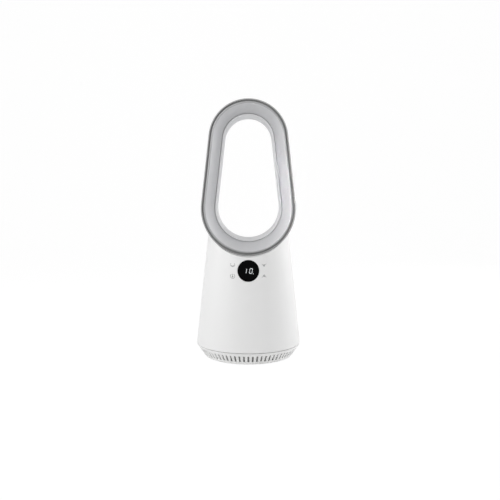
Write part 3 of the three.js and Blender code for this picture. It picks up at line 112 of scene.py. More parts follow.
class FanBodySizes(PropertyGroup):
    """Sizes of the white body."""

    bottom_radius: length("Bottom radius", "Radius of the lower edge", 0.1242)
    taper: tilt("Taper", "Lean of the body's side", 6.33)
    wall: length("Wall", "Thickness of the wall", 0.0028)
    edge_round: length("Edge rounding", "Radius of the body's edges", 0.0004)
    saddle_gap: length("Saddle gap", "Gap between the body and the loop", 0.0004)


class FanLoopSizes(PropertyGroup):
    """Sizes of the air loop. The section is measured inwards from the outline."""

    lower_radius: length("Lower radius", "Radius of the lower round", 0.108)
    upper_radius: length("Upper radius", "Radius of the upper round", 0.09)
    lower_centre: length("Lower centre", "Height of the lower round's centre", 0.354)
    upper_centre: length("Upper centre", "Height of the upper round's centre", 0.51)
    depth: length("Depth", "Depth of the loop, front to back", 0.14)
    wall: length("Wall", "Thickness of the outer shell", 0.0028)
    groove_width: length("Groove width", "Dark groove behind the front lip", 0.0034)
    groove_depth: length("Groove depth", "Depth of the groove", 0.01)
    trim_depth: length("Trim depth", "Depth of the strip in the groove", 0.005)
    bead_width: length("Bead width", "Front bead of the flare", 0.0039)
    bead_step: length("Bead step", "Step from the bead to the slope", 0.0012)
    slope_width: length("Slope width", "Width of the sloping face", 0.0188)
    slope_depth: length("Slope depth", "Depth of the sloping face", 0.0272)
    slope_crown: length("Slope crown", "Bulge of the sloping face", 0.0008)
    air_gap: length("Air gap", "Width of the gap that the air leaves by", 0.0009)
    nose: length("Tunnel nose", "Thickness of the tunnel's front edge", 0.0017)
    tunnel_draft: length("Tunnel draft", "Narrowing of the tunnel", 0.0016)
    back_round: length("Back rounding", "Depth of the rounded back edge", 0.018)
    back_seam: length("Back seam", "Seam of the shell and the tunnel at the back", 0.017)


class FanBaseSizes(PropertyGroup):
    """Sizes of the base ring and its slots."""

    low_radius: length("Lower radius", "Radius of the ring's lower edge", 0.1052)
    high_radius: length("Upper radius", "Radius of the ring's upper edge", 0.124)
    wall: length("Wall", "Thickness of the ring", 0.0026)
    slot_count: IntProperty(name="Slots", description="Slots in a full turn", default=72, min=24)
    slots_left_out: IntProperty(
        name="Slots left out", description="Slots that give way to the inlet", default=5, min=1
    )
    slot_width: length("Slot width", "Width of one slot", 0.004)
    slot_height: length("Slot height", "Height of one slot", 0.015)
    slot_rise: length("Slot rise", "Slots above the ring's lower edge", 0.007)
    slot_corner: length("Slot corner", "Radius of a slot's corners", 0.0012)
    edge_round: length("Edge rounding", "Radius of the small edges", 0.00025)
    screen_gap: length("Screen gap", "Gap between the ring's wall and the dust screen", 0.0004)
    screen_thickness: length("Screen thickness", "Thickness of the dust screen", 0.0005)


class FanDisplaySizes(PropertyGroup):
    """Sizes of the display and the printed symbols."""

    window_radius: length("Window radius", "Radius of the black window", 0.02425)
    window_thickness: length("Window thickness", "Thickness of the window", 0.0026)
    window_gap: length("Window gap", "Gap round the window", 0.0003)
    digit_height: length("Digit height", "Height of a digit", 0.0108)
    digit_width: length("Digit width", "Width of a digit", 0.0058)
    digit_stroke: length("Digit stroke", "Width of a lit bar", 0.00125)
    digit_lean: tilt("Digit lean", "Lean of the digits", 9)
    symbol_across: length("Symbol spacing", "From the middle to a symbol, sideways", 0.0354)
    symbol_up: length("Symbol rise", "From the middle to a symbol, upwards", 0.0124)
    symbol_size: length("Symbol size", "Radius of a printed symbol", 0.0053)
    symbol_stroke: length("Symbol stroke", "Width of a printed line", 0.001)


class FanColours(PropertyGroup):
    """Colours of the pieces that show."""

    shell: colour("Body", "Colour of the body", (0.83, 0.83, 0.828))
    base: colour("Base", "Colour of the base ring", (0.9, 0.9, 0.895))
    silver: colour("Flare", "Colour of the paint on the flare", (0.61, 0.612, 0.623))
    tunnel: colour("Tunnel", "Colour of the paint on the tunnel", (0.62, 0.622, 0.634))
    outer: colour("Loop shell", "Colour of the paint on the shell", (0.36, 0.361, 0.362))
    trim: colour("Groove trim", "Colour of the strip in the groove", (0.3, 0.302, 0.298))
    window: colour("Window", "Colour of the display window", (0.0012, 0.0012, 0.0014))
    digits: colour("Digits", "Colour of the lit digits", (0.86, 0.9, 0.92))
    symbols: colour("Symbols", "Colour of the printed symbols", (0.3, 0.3, 0.305))
    screen: colour("Dust screen", "Colour of the dust screen's threads", (0.27, 0.27, 0.267))


class FanStudio(PropertyGroup):
    """The camera and the lamps."""

    camera_side: length("Camera side", "Camera to the right", 0.0037)
    camera_back: length("Camera distance", "Camera in front of the fan", 1.54493)
    camera_height: length("Camera height", "Camera above the floor", 0.40616)
    camera_dip: tilt("Camera dip", "Camera looks down by this", 5.67)
    camera_lens: FloatProperty(
        name="Lens", description="Focal length", default=46.76, unit="CAMERA"
    )
    key_power: power("Key lamp", "Power of the front left lamp", 15.8)
    side_power: power("Side lamp", "Power of the left side lamp", 6.2)
    loop_power: power("Loop lamp", "Power of the narrow lamp on the loop's right side", 0.05)
    front_power: power("Front lamp", "Power of the high front lamp", 5.5)
    fill_power: power("Fill lamp", "Power of the right side lamp", 9)
    rim_power: power("Rim lamp", "Power of the lamp behind on the right", 12.5)
    sky_strength: FloatProperty(name="Sky", description="Strength of the even light", default=0.38)


def sizes():
    """The scene, which carries the sizes and colours."""
    return bpy.context.scene


# ---------------- shader expressions
class Wire:
    """One output of a shader node. Arithmetic on it adds Math nodes."""

    def __init__(self, nodes, socket):
        self.nodes = nodes
        self.socket = socket

    def math(self, operation, *values):
        inputs = dict(enumerate(values))
        return self.nodes.node("ShaderNodeMath", {"operation": operation}, inputs)

    def __add__(self, other):
        return self.math("ADD", self, other)

    def __radd__(self, other):
        return self.math("ADD", other, self)

    def __sub__(self, other):
        return self.math("SUBTRACT", self, other)

    def __rsub__(self, other):
        return self.math("SUBTRACT", other, self)

    def __mul__(self, other):
        return self.math("MULTIPLY", self, other)

    def __rmul__(self, other):
        return self.math("MULTIPLY", other, self)

    def above(self, edge):
        return self.math("GREATER_THAN", self, edge)

    def wave(self, pitch):
        """A wave from -1 to 1 that repeats at every pitch."""
        return self.math("SINE", self * (TURN / pitch))

    def clamped(self):
        return self.math("MAXIMUM", self.math("MINIMUM", self, 1.0), 0.0)


class Nodes:
    """A tree of shader nodes."""

    def __init__(self, tree):
        self.tree = tree

    def node(self, kind, settings=None, inputs=None, output=0):
        """Adds a node, sets it up, fills its inputs and gives one output, if it has any."""
        made = self.tree.nodes.new(kind)
        for key, value in (settings or {}).items():
            setattr(made, key, value)
        for key, value in (inputs or {}).items():
            self.feed(made.inputs[key], value)
        return Wire(self, made.outputs[output]) if made.outputs else None

    def feed(self, socket, value):
        if isinstance(value, Wire):
            self.tree.links.new(value.socket, socket)
        else:
            socket.default_value = value

    def seen(self):
        """1 for what the camera, gloss and glass see, and 0 for the light on the fan."""
        rays = ("Is Camera Ray", "Is Glossy Ray", "Is Transmission Ray")
        camera, gloss, glass = (self.node("ShaderNodeLightPath", output=ray) for ray in rays)
        return (camera + gloss + glass).clamped()

    def mixed(self, factor, first, second):
        """A shader between two shaders."""
        return self.node("ShaderNodeMixShader", None, {0: factor, 1: first, 2: second})


class Finish(Nodes):
    """A procedural material and the nodes that make it."""

    def __init__(self, name):
        self.material = bpy.data.materials.new(name)
        self.material.use_nodes = True
        super().__init__(self.material.node_tree)
        self.shader = self.tree.nodes["Principled BSDF"]

    def place(self, axis=None):
        """The point on the piece in metres, or one of its coordinates."""
        point = self.node("ShaderNodeTexCoord", output="Object")
        return self.node("ShaderNodeSeparateXYZ", None, {0: point}, axis) if axis else point

    def noise(self, scale, detail=2, roughness=0.5, stretch=None):
        place = self.place()
        if stretch:
            settings = {"operation": "MULTIPLY"}
            place = self.node("ShaderNodeVectorMath", settings, {0: place, 1: stretch})
        inputs = {"Scale": scale, "Detail": detail, "Roughness": roughness, "Vector": place}
        return self.node("ShaderNodeTexNoise", None, inputs, "Fac")

    def cells(self, scale):
        inputs = {"Scale": scale, "Vector": self.place()}
        return self.node("ShaderNodeTexVoronoi", None, inputs, "Distance")

    def layers(self, pitch):
        """Level lines, one at every pitch, from 0 to 1."""
        return self.place("Z").wave(pitch) * 0.5 + 0.5

    def blend(self, factor, first, second):
        """A colour between two colours."""
        inputs = {"Factor": factor, 6: rgba(first), 7: rgba(second)}
        return self.node("ShaderNodeMix", {"data_type": "RGBA"}, inputs, 2)

    def bump(self, height, strength, distance):
        inputs = {"Height": height, "Strength": strength, "Distance": distance}
        return self.node("ShaderNodeBump", None, inputs)

    def surface(self, **values):
        """Feeds the Principled shader's sockets by name, with spaces as underscores."""
        for key, value in values.items():
            if isinstance(value, tuple):
                value = rgba(value)
            self.feed(self.shader.inputs[key.replace("_", " ")], value)
        return self.material


def rgba(value):
    return value if isinstance(value, Wire) else (*value, 1.0)


def scaled(shade, factor):
    return tuple(min(1.0, c * factor) for c in shade)


# ---------------- finishes
def moulded_plastic(name, shade, roughness, grain=2600, depth=0.00002, uneven=0.02, gloss=0.5):
    """Injection-moulded plastic: a fine spark texture, slight flow marks and soft wear."""
    finish = Finish(name)
    fine = finish.noise(grain, roughness=0.55)
    broad = finish.noise(9, detail=3)
    rough = roughness - 0.04 + broad * 0.05 + fine * 0.05
    return finish.surface(
        Base_Color=finish.blend(broad, scaled(shade, 1 - uneven), scaled(shade, 1 + uneven / 2)),
        Roughness=rough,
        Specular_IOR_Level=gloss,
        Normal=finish.bump(fine, 0.35, depth),
    )


def silver_paint(name, shade, painted_shade_front=None, painted_shade_share=0.62, fade=2500):
    """Metallic paint on plastic: fine flakes under a thin clear coat.

    In front of the given front depth the colour darkens, as painted shade on the front bead,
    as fast as fade says, to the given share of its brightness.
    """
    finish = Finish(name)
    flakes = finish.cells(2400)
    cloud = finish.noise(14, detail=3)
    ground = finish.blend(cloud, scaled(shade, 0.97), scaled(shade, 1.02))
    paint = finish.blend((flakes * 1.5).clamped() * 0.3, ground, scaled(shade, 1.16))
    # Painted shade: the colour darkens in front of the given depth, on the flare's front bead, in
    # place of the dark reflection that the bead faces.
    if painted_shade_front is not None:
        painted_shade = ((painted_shade_front - finish.place("Y")) * fade).clamped()
        paint = finish.blend(painted_shade, paint, scaled(shade, painted_shade_share))
    return finish.surface(
        Base_Color=paint,
        Metallic=0.4 + flakes * 0.12,
        Roughness=0.44 + cloud * 0.05,
        Coat_Weight=0.12,
        Coat_Roughness=0.25,
        Normal=finish.bump(finish.noise(420), 0.12, 0.00003),
    )


def smoked_window(name, shade):
    """Polished black acrylic with the faintest unevenness."""
    finish = Finish(name)
    haze = finish.noise(900, detail=3)
    return finish.surface(
        Base_Color=finish.blend(haze, scaled(shade, 0.8), scaled(shade, 1.6)),
        Roughness=0.08 + haze * 0.05,
        Specular_IOR_Level=0.03,
        Normal=finish.bump(finish.noise(60, detail=1), 0.05, 0.00005),
    )


def lit_digit(name, shade):
    """Light from a lit bar, a little uneven along it."""
    finish = Finish(name)
    glow = finish.blend(finish.noise(300, detail=1), scaled(shade, 0.92), shade)
    return finish.surface(
        Base_Color=(0.02, 0.02, 0.02), Emission_Color=glow, Emission_Strength=0.95, Roughness=0.4
    )


def printed_ink(name, shade):
    """Pad-printed ink with a slightly uneven film."""
    finish = Finish(name)
    grain = finish.noise(3500)
    return finish.surface(
        Base_Color=finish.blend(grain, shade, scaled(shade, 1.12)), Roughness=0.5 + grain * 0.1
    )


def woven_screen(name, shade, pitch=0.0009, radius=0.11):
    """Fine cloth for dust, with upright threads and level ones."""
    finish = Finish(name)
    x = finish.place("X")
    around = x.math("ARCTAN2", x, finish.place("Y"))
    threads = around.wave(pitch / radius) * finish.place("Z").wave(pitch) * 0.5 + 0.5
    return finish.surface(
        Base_Color=finish.blend(threads, scaled(shade, 0.8), scaled(shade, 1.15)),
        Roughness=0.7 + threads * 0.1,
        Normal=finish.bump(threads, 0.5, 0.0001),
    )


def rubber(name, shade):
    """Moulded rubber with dust in its grain."""
    finish = Finish(name)
    grain = finish.noise(3200, detail=3)
    dust = finish.noise(60, detail=4)
    return finish.surface(
        Base_Color=finish.blend(dust, scaled(shade, 0.85), scaled(shade, 1.3)),
        Roughness=0.72 + grain * 0.16,
        Normal=finish.bump(grain, 0.5, 0.00004),
    )


def machined_metal(name, shade, roughness=0.3, along=(1, 1, 40)):
    """Turned or drawn metal with fine marks along one way."""
    finish = Finish(name)
    marks = finish.noise(90, detail=3, roughness=0.6, stretch=along)
    tarnish = finish.noise(70, detail=4)
    return finish.surface(
        Base_Color=finish.blend(tarnish, scaled(shade, 0.86), scaled(shade, 1.05)),
        Metallic=1.0,
        Roughness=roughness + marks * 0.14,
        Normal=finish.bump(marks, 0.2, 0.00002),
    )


def stacked_sheets(name, shade, pitch=0.0005):
    """Thin electrical sheets stacked along the axis."""
    finish = Finish(name)
    lines = finish.layers(pitch)
    return finish.surface(
        Base_Color=finish.blend(lines, scaled(shade, 0.6), shade),
        Metallic=0.9,
        Roughness=0.42 + lines * 0.1,
        Normal=finish.bump(lines, 0.5, 0.00004),
    )


def wound_copper(name, shade, pitch=0.00045):
    """Enamelled wire laid turn by turn."""
    finish = Finish(name)
    turns = finish.layers(pitch)
    return finish.surface(
        Base_Color=finish.blend(finish.noise(120), scaled(shade, 0.8), scaled(shade, 1.15)),
        Metallic=0.85,
        Roughness=0.28 + turns * 0.2,
        Normal=finish.bump(turns, 0.8, 0.00012),
    )


def circuit_board(name, shade):
    """Green solder mask over a net of raised tracks."""
    finish = Finish(name)
    tracks = finish.cells(260).above(0.62)
    weave = finish.noise(1800)
    return finish.surface(
        Base_Color=finish.blend(tracks, shade, scaled(shade, 1.7)),
        Roughness=0.34 + weave * 0.12,
        Normal=finish.bump(tracks * 0.8 + weave * 0.2, 0.4, 0.00004),
    )


# ---------------- mesh making
class Skin:
    """Points and faces gathered for one mesh, in metres."""

    def __init__(self):
        self.points = []
        self.faces = []

    def row(self, points):
        start = len(self.points)
        self.points.extend(tuple(p) for p in points)
        return list(range(start, len(self.points)))

    def bridge(self, first, second, closed=True):
        """Faces between two rows of the same length."""
        count = len(first)
        for i in range(count if closed else count - 1):
            j = (i + 1) % count
            self.faces.append((first[i], first[j], second[j], second[i]))

    def bridge_all(self, rows, closed=True, round_again=False):
        for first, second in zip(rows, rows[1:]):
            self.bridge(first, second, closed)
        if round_again:
            self.bridge(rows[-1], rows[0], closed)

    def cap(self, row, middle):
        """Closes a row towards one point."""
        tip = self.row([middle])[0]
        self.faces += [(a, b, tip) for a, b in zip(row, row[1:] + row[:1])]

    def mesh(self, name, material):
        """A smooth mesh of the skin in one material."""
        made = bpy.data.meshes.new(name)
        made.from_pydata(self.points, [], self.faces)
        made.shade_smooth()
        made.materials.append(material)
        return made


def placed(name, data):
    """A new object in the scene."""
    made = bpy.data.objects.new(name, data)
    bpy.context.scene.collection.objects.link(made)
    return made


def crease(mesh):
    """Turns all faces outwards and keeps the edges between steep faces sharp."""
    work = bmesh.new()
    work.from_mesh(mesh)
    bmesh.ops.recalc_face_normals(work, faces=work.faces)
    work.to_mesh(mesh)
    work.free()
    mesh.set_sharp_from_angle(angle=SHARP_ANGLE)


def closed_row(row):
    return [*row, row[0]]


def round_rims(made, rims, radius):
    """Rounds the edges along some rows of points, and no others."""
    marked = {frozenset(pair) for rim in rims for pair in zip(rim, rim[1:])}
    weights = made.data.attributes.new("bevel_weight_edge", "FLOAT", "EDGE")
    for edge in made.data.edges:
        weights.data[edge.index].value = float(frozenset(edge.vertices) in marked)
    rounding = made.modifiers.new("edge rounding", "BEVEL")
    rounding.width = radius
    rounding.segments = 3
    rounding.limit_method = "WEIGHT"
    rounding.harden_normals = True


def piece(name, skin, material, body, slot, *nodes, rims=(), radius=0.0):
    """A visible piece from a skin, riding on its body and standing for its CAD nodes."""
    made = placed(name, skin.mesh(name, material))
    crease(made.data)
    if rims:
        round_rims(made, rims, radius)
    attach(made, body)
    if nodes:
        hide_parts(*nodes)


def spread(first, last, steps):
    """Even numbers from first to last."""
    return [first + (last - first) * i / steps for i in range(steps + 1)]


def full_turn(count):
    return spread(0, TURN, count)[:-1]


def turned(radius, angle, z):
    """A point round the fan's upright axis, with its angle from the front."""
    return (radius * math.sin(angle), -radius * math.cos(angle), z)


def quarter(x0, y0, x1, y1, steps):
    """Points of a quarter ellipse that starts along the second axis."""
    return [
        (x1 + (x0 - x1) * math.cos(turn), y0 + (y1 - y0) * math.sin(turn))
        for turn in spread(0, TURN / 4, steps)
    ]


def rounded_outline(points, radius, steps=4, keep=()):
    """A closed outline with its corners rounded, apart from flat ones and those in keep."""
    flat = math.radians(150)
    most = 0.45  # share of an edge that a round may take
    result = []
    count = len(points)
    for i, corner in enumerate(points):
        here = Vector(corner)
        before = Vector(points[i - 1]) - here
        after = Vector(points[(i + 1) % count]) - here
        turn = before.angle(after)
        if i in keep or turn > flat:
            result.append(tuple(here))
            continue
        reach = min(radius / math.tan(turn / 2), before.length * most, after.length * most)
        start = here + before.normalized() * reach
        end = here + after.normalized() * reach
        for share in spread(0, 1, steps):
            result.append(tuple(start.lerp(here, share).lerp(here.lerp(end, share), share)))
    return result


# ---------------- the body
def body_radius(z):
    body = sizes().fan_body
    return body.bottom_radius - math.tan(body.taper) * (z - BODY_LOW)


def on_body(x, up, inwards=0.0):
    """A point on the body's front: x sideways, up along its slope from the window's middle."""
    slope = math.cos(sizes().fan_body.taper)
    z = WINDOW_MIDDLE + up * slope
    return turned(body_radius(z) - inwards / slope, math.asin(x / body_radius(z)), z)


def saddle_top(x, block_radius, shoulder):
    """Height of the body's upper surface, which the loop lies on."""
    if abs(x) >= block_radius:
        return shoulder
    return min(shoulder, sizes().fan_loop.lower_centre - math.sqrt(block_radius**2 - x * x))


def top_on_cone(angle, inwards, block_radius, shoulder, halvings=40):
    """Height where the cone's side meets the upper surface, found by halving."""
    low, high = BODY_LOW, shoulder
    for _ in range(halvings):
        middle = (low + high) / 2
        x = (body_radius(middle) - inwards) * math.sin(angle)
        if middle < saddle_top(x, block_radius, shoulder):
            low = middle
        else:
            high = middle
    return low


class BodySide:
    """One side of the body's wall: the cone with its window hole, and the saddle on top."""

    COLUMNS = 240
    HALF = COLUMNS // 2
    PLAIN_ROWS = 14
    BAND_ROWS = 20
    BAND_LOW, BAND_TOP = 0.1885, 0.2421  # the band that holds the window
    PATCH = 11  # columns either side of the window's middle
    ARC = COLUMNS // 4 - 6  # columns either side of the front and the back with a rounded rim
    SADDLE_STEPS = 8

    def __init__(self, skin, inwards, block_radius, shoulder):
        self.skin = skin
        self.inwards = inwards
        self.angles = full_turn(self.COLUMNS)
        levels = spread(BODY_LOW, self.BAND_LOW, self.PLAIN_ROWS)
        levels += spread(self.BAND_LOW, self.BAND_TOP, self.BAND_ROWS)[1:]
        self.rows = [self.level_row([z] * self.COLUMNS) for z in levels]
        self.fill_band()
        self.edge = self.level_row(
            [top_on_cone(a, inwards, block_radius, shoulder) for a in self.angles]
        )
        skin.bridge(self.rows[-1], self.edge)
        self.span_saddle()

    def level_row(self, heights):
        """A row of points round the cone at the given heights."""
        return self.skin.row(
            turned(body_radius(z) - self.inwards, angle, z)
            for angle, z in zip(self.angles, heights)
        )

    def in_patch(self, row, column):
        wrapped = (column + self.HALF) % self.COLUMNS - self.HALF
        return row >= self.PLAIN_ROWS and -self.PATCH <= wrapped < self.PATCH

    def fill_band(self):
        for r, (low, high) in enumerate(zip(self.rows, self.rows[1:])):
            for c in range(self.COLUMNS):
                if not self.in_patch(r, c):
                    d = (c + 1) % self.COLUMNS
                    self.skin.faces.append((low[c], low[d], high[d], high[c]))
        columns = range(-self.PATCH, self.PATCH + 1)
        low_row, *between, high_row = self.rows[self.PLAIN_ROWS :]
        border = [low_row[c] for c in columns]
        border += [row[self.PATCH] for row in between]
        border += [high_row[c] for c in reversed(columns)]
        border += [row[-self.PATCH] for row in reversed(between)]
        self.hole = self.window_rings(border)

    def window_rings(self, border):
        """Rings from the patch's border in to the window hole."""
        display = sizes().fan_display
        slope = math.cos(sizes().fan_body.taper)
        radius = display.window_radius + display.window_gap
        flat = []
        for index in border:
            x, y, z = self.skin.points[index]
            across = body_radius(z) * math.sin(math.atan2(x, -y))
            flat.append((across, (z - WINDOW_MIDDLE) / slope))
        rows = [border]
        for share in (0.5, 1.0):
            points = []
            for x, up in flat:
                scale = 1 + (radius / math.hypot(x, up) - 1) * share
                points.append(on_body(x * scale, up * scale, self.inwards * slope))
            rows.append(self.skin.row(points))
        self.skin.bridge_all(rows)
        return rows[-1]

    def span_saddle(self):
        """Strips of the saddle, each from the front edge to the back one."""
        strips = []
        for c in range(-self.HALF // 2, self.HALF // 2 + 1):
            front, back = self.edge[c], self.edge[self.HALF - c]
            x, y, z = self.skin.points[front]
            inner = [(x, level, z) for level in spread(y, -y, self.SADDLE_STEPS)[1:-1]]
            if front == back:
                strips.append([front] * (self.SADDLE_STEPS + 1))
            else:
                strips.append([front, *self.skin.row(inner), back])
        for first, second in zip(strips, strips[1:]):
            for i in range(self.SADDLE_STEPS):
                face = (first[i], first[i + 1], second[i + 1], second[i])
                self.skin.faces.append(tuple(dict.fromkeys(face)))

    def rims(self):
        """The edges that show: round the foot, round the window, and along the saddle."""
        arcs = [
            [self.edge[middle + c] for c in range(-self.ARC, self.ARC + 1)]
            for middle in (0, self.HALF)
        ]
        return [closed_row(self.rows[0]), closed_row(self.hole), *arcs]


class FAN_OT_body(Operator):
    """Builds the white body with its window hole and the saddle that carries the loop"""

    bl_idname = "fan.body"
    bl_label = "Body"

    def execute(self, context):
        scene = context.scene
        body = scene.fan_body
        reach = scene.fan_loop.lower_radius + body.saddle_gap
        level_wall = body.wall / math.cos(body.taper)
        skin = Skin()
        outer = BodySide(skin, 0.0, reach, BODY_HIGH)
        inner = BodySide(skin, level_wall, reach + body.wall, BODY_HIGH - body.wall)
        skin.bridge(outer.rows[0], inner.rows[0])
        skin.bridge(outer.hole, inner.hole)
        white = moulded_plastic("body white", tuple(scene.fan_colours.shell), 0.42, gloss=0.25)
        piece(
            "body_cover", skin, white, "upper", "white_shell", "body_shell",
            rims=outer.rims(), radius=body.edge_round,
        )
        return {"FINISHED"}


# ---------------- the base ring
def ring_radius(z):
    base = sizes().fan_base
    share = (z - RING_LOW) / (RING_HIGH - RING_LOW)
    return base.low_radius + (base.high_radius - base.low_radius) * share


def ring_wall():
    """Thickness of the ring's leaning wall, measured level."""
    base = sizes().fan_base
    lean = math.atan2(base.high_radius - base.low_radius, RING_HIGH - RING_LOW)
    return base.wall / math.cos(lean)


class RingSide:
    """One side of the base ring's sloping wall, with the slots and the inlet's opening."""

    # Places of the points on a sector's border, from -1 to 1.
    ACROSS = (-1, -0.75, -0.5, 0, 0.5, 0.75)
    UP = (-0.94, -0.87, -0.5, 0, 0.5, 0.87, 0.94)
    INLET_GAP = 0.2 * MM
    INLET_CORNER = 0.8 * MM

    def __init__(self, skin, inwards, low, high):
        self.skin = skin
        self.inwards = inwards
        self.low = low
        self.high = high
        self.count = sizes().fan_base.slot_count
        self.pitch = TURN / self.count
        self.angles = [
            self.pitch * (sector + across / 2)
            for sector in range(self.count)
            for across in self.ACROSS
        ]
        self.bottom = skin.row([self.at(a, low) for a in self.angles])
        self.top = skin.row([self.at(a, high) for a in self.angles])
        self.holes = []
        self.fill()

    def at(self, angle, z):
        return turned(ring_radius(z) - self.inwards, angle, z)

    def fill(self):
        """A ring of faces round each slot, and a wide one round the inlet."""
        half_span = (sizes().fan_base.slots_left_out - 1) // 2
        back = self.count // 2
        wide = range(back - half_span, back + half_span + 1)
        levels = [self.low + (self.high - self.low) * (up + 1) / 2 for up in self.UP]
        sides = {}
        for sector in range(self.count):
            if sector not in wide[1:]:
                angle = self.pitch * (sector - 0.5)
                sides[sector] = self.skin.row([self.at(angle, z) for z in levels])
        for sector in range(self.count):
            if sector not in wide:
                following = sides[(sector + 1) % self.count]
                self.ring(sector, 1, sides[sector], following, self.slot_shape())
        self.ring(wide[0], len(wide), sides[wide[0]], sides[wide[-1] + 1], self.inlet_shape())

    def slot_shape(self):
        base = sizes().fan_base
        middle = RING_LOW + base.slot_rise + base.slot_height / 2
        return (base.slot_width / 2, base.slot_height / 2, base.slot_corner, middle)

    def inlet_shape(self):
        half = (INLET_HIGH - INLET_LOW) / 2
        middle = (INLET_HIGH.z + INLET_LOW.z) / 2
        return (half.x + self.INLET_GAP, half.z + self.INLET_GAP, self.INLET_CORNER, middle)

    def ring(self, sector, span, left, right, shape):
        """Faces between the border of one or more sectors and their opening."""
        size = len(self.ACROSS)
        columns = [(sector * size + i) % (self.count * size) for i in range(span * size + 1)]
        bottom = [self.bottom[c] for c in columns]
        top = [self.top[c] for c in columns]
        border = bottom + right + top[::-1] + left[::-1]
        across = [s / span + (2 * n + 1 - span) / span for n in range(span) for s in self.ACROSS]
        across.append(1.0)
        marks = [(a, -1) for a in across] + [(1, u) for u in self.UP]
        marks += [(a, 1) for a in reversed(across)] + [(-1, u) for u in reversed(self.UP)]
        hole = [self.on_opening(*mark, *shape) for mark in marks]
        centre = self.pitch * (sector + (span - 1) / 2)
        rows = [border]
        for share in (0.5, 1.0):
            points = []
            for index, (x, z) in zip(border, hole):
                px, py, pz = self.skin.points[index]
                turn = (math.atan2(px, -py) - centre + math.pi) % TURN - math.pi
                there = math.asin(x / (ring_radius(z) - self.inwards))
                angle = centre + turn + (there - turn) * share
                points.append(self.at(angle, pz + (z - pz) * share))
            rows.append(self.skin.row(points))
        self.skin.bridge_all(rows)
        self.holes.append(rows[-1])

    @staticmethod
    def on_opening(across, up, half_width, half_height, corner, middle):
        """A point on an opening's outline, with its corners rounded."""
        x, z = half_width * across, half_height * up
        over = Vector((abs(x) - (half_width - corner), abs(z) - (half_height - corner)))
        if min(over) > 0:
            over = over.normalized() * corner
            x = math.copysign(half_width - corner + over.x, x)
            z = math.copysign(half_height - corner + over.y, z)
        return (x, z + middle)


class FAN_OT_base_ring(Operator):
    """Builds the sloping base ring with its row of upright air slots"""

    bl_idname = "fan.base_ring"
    bl_label = "Base ring"

    # The ledge lies on the base plate, and the shelf carries the slide ring.
    LEDGE_LOW, LEDGE_TOP, LEDGE_RADIUS = 6.3 * MM, 8.7 * MM, 94 * MM
    SHELF_LOW, SHELF_TOP, SHELF_RADIUS = 25.6 * MM, 28 * MM, 110 * MM
    SLOTS_LOW = 7.3 * MM
    # Levels of the plain rows under and over the slots.
    FOOT_LEVELS = (6 * MM, 4.2 * MM)
    HEAD_LEVELS = (27 * MM, RING_HIGH - 1.2 * MM, RING_HIGH - 0.5 * MM)
    # The rounded edges, in millimetres inwards and up from the foot or down from the head.
    FOOT_EDGE = ((-0.5, 1.0), (0.2, 0.35), (1.4, 0.0))
    HEAD_EDGE = ((0.25, 0.1), (0.7, 0.0), (2.7, 0.0))

    def execute(self, context):
        scene = context.scene
        base = scene.fan_base
        wall = ring_wall()
        skin = Skin()
        outer = RingSide(skin, 0.0, self.SLOTS_LOW, self.SHELF_LOW)
        inner = RingSide(skin, wall, self.LEDGE_TOP, self.SHELF_LOW)
        for first, second in zip(outer.holes, inner.holes):
            skin.bridge(first, second)
        foot = [(ring_radius(z), z) for z in self.FOOT_LEVELS]
        foot += [(base.low_radius - r * MM, RING_LOW + up * MM) for r, up in self.FOOT_EDGE]
        foot += [(base.low_radius - wall, z) for z in (RING_LOW, self.LEDGE_LOW)]
        foot += [(self.LEDGE_RADIUS, z) for z in (self.LEDGE_LOW, self.LEDGE_TOP)]
        head = [(ring_radius(z), z) for z in self.HEAD_LEVELS]
        head += [(base.high_radius - r * MM, RING_HIGH - down * MM) for r, down in self.HEAD_EDGE]
        head += [(radius, self.SHELF_TOP) for radius in (head[-1][0], self.SHELF_RADIUS)]
        head += [(self.SHELF_RADIUS, self.SHELF_LOW)]
        for start, profile, end in (
            (outer.bottom, foot, inner.bottom), (outer.top, head, inner.top)
        ):
            band = [skin.row([turned(r, a, z) for a in outer.angles]) for r, z in profile]
            skin.bridge_all([start, *band, end])
        shade = tuple(scene.fan_colours.base)
        white = moulded_plastic("base white", shade, 0.46, grain=2000, depth=0.00003, gloss=0.3)
        piece(
            "base_ring", skin, white, "base", "white_base", "base_grille",
            rims=[closed_row(hole) for hole in outer.holes], radius=base.edge_round,
        )
        return {"FINISHED"}


class FAN_OT_dust_screen(Operator):
    """Builds the fine screen behind the slots, which leaves room for the inlet"""

    bl_idname = "fan.dust_screen"
    bl_label = "Dust screen"

    LOW, HIGH = 9 * MM, 25.3 * MM
    INLET_ROOM = 1.5 * MM
    STEPS = 180

    def execute(self, context):
        base = context.scene.fan_base
        near = ring_wall() + base.screen_gap
        far = near + base.screen_thickness
        corners = ((near, self.LOW), (near, self.HIGH), (far, self.HIGH), (far, self.LOW))
        section = [(ring_radius(z) - inwards, z) for inwards, z in corners]
        room = (INLET_HIGH.x - INLET_LOW.x) / 2 + self.INLET_ROOM
        stop = math.pi - math.asin(room / section[-1][0])
        skin = Skin()
        rows = [
            skin.row([turned(r, angle, z) for r, z in section])
            for angle in spread(-stop, stop, self.STEPS)
        ]
        skin.bridge_all(rows)
        skin.faces += [tuple(rows[0]), tuple(reversed(rows[-1]))]
        cloth = woven_screen("dust screen", tuple(context.scene.fan_colours.screen))
        piece("dust_screen", skin, cloth, "base", "grey_plastic")
        return {"FINISHED"}


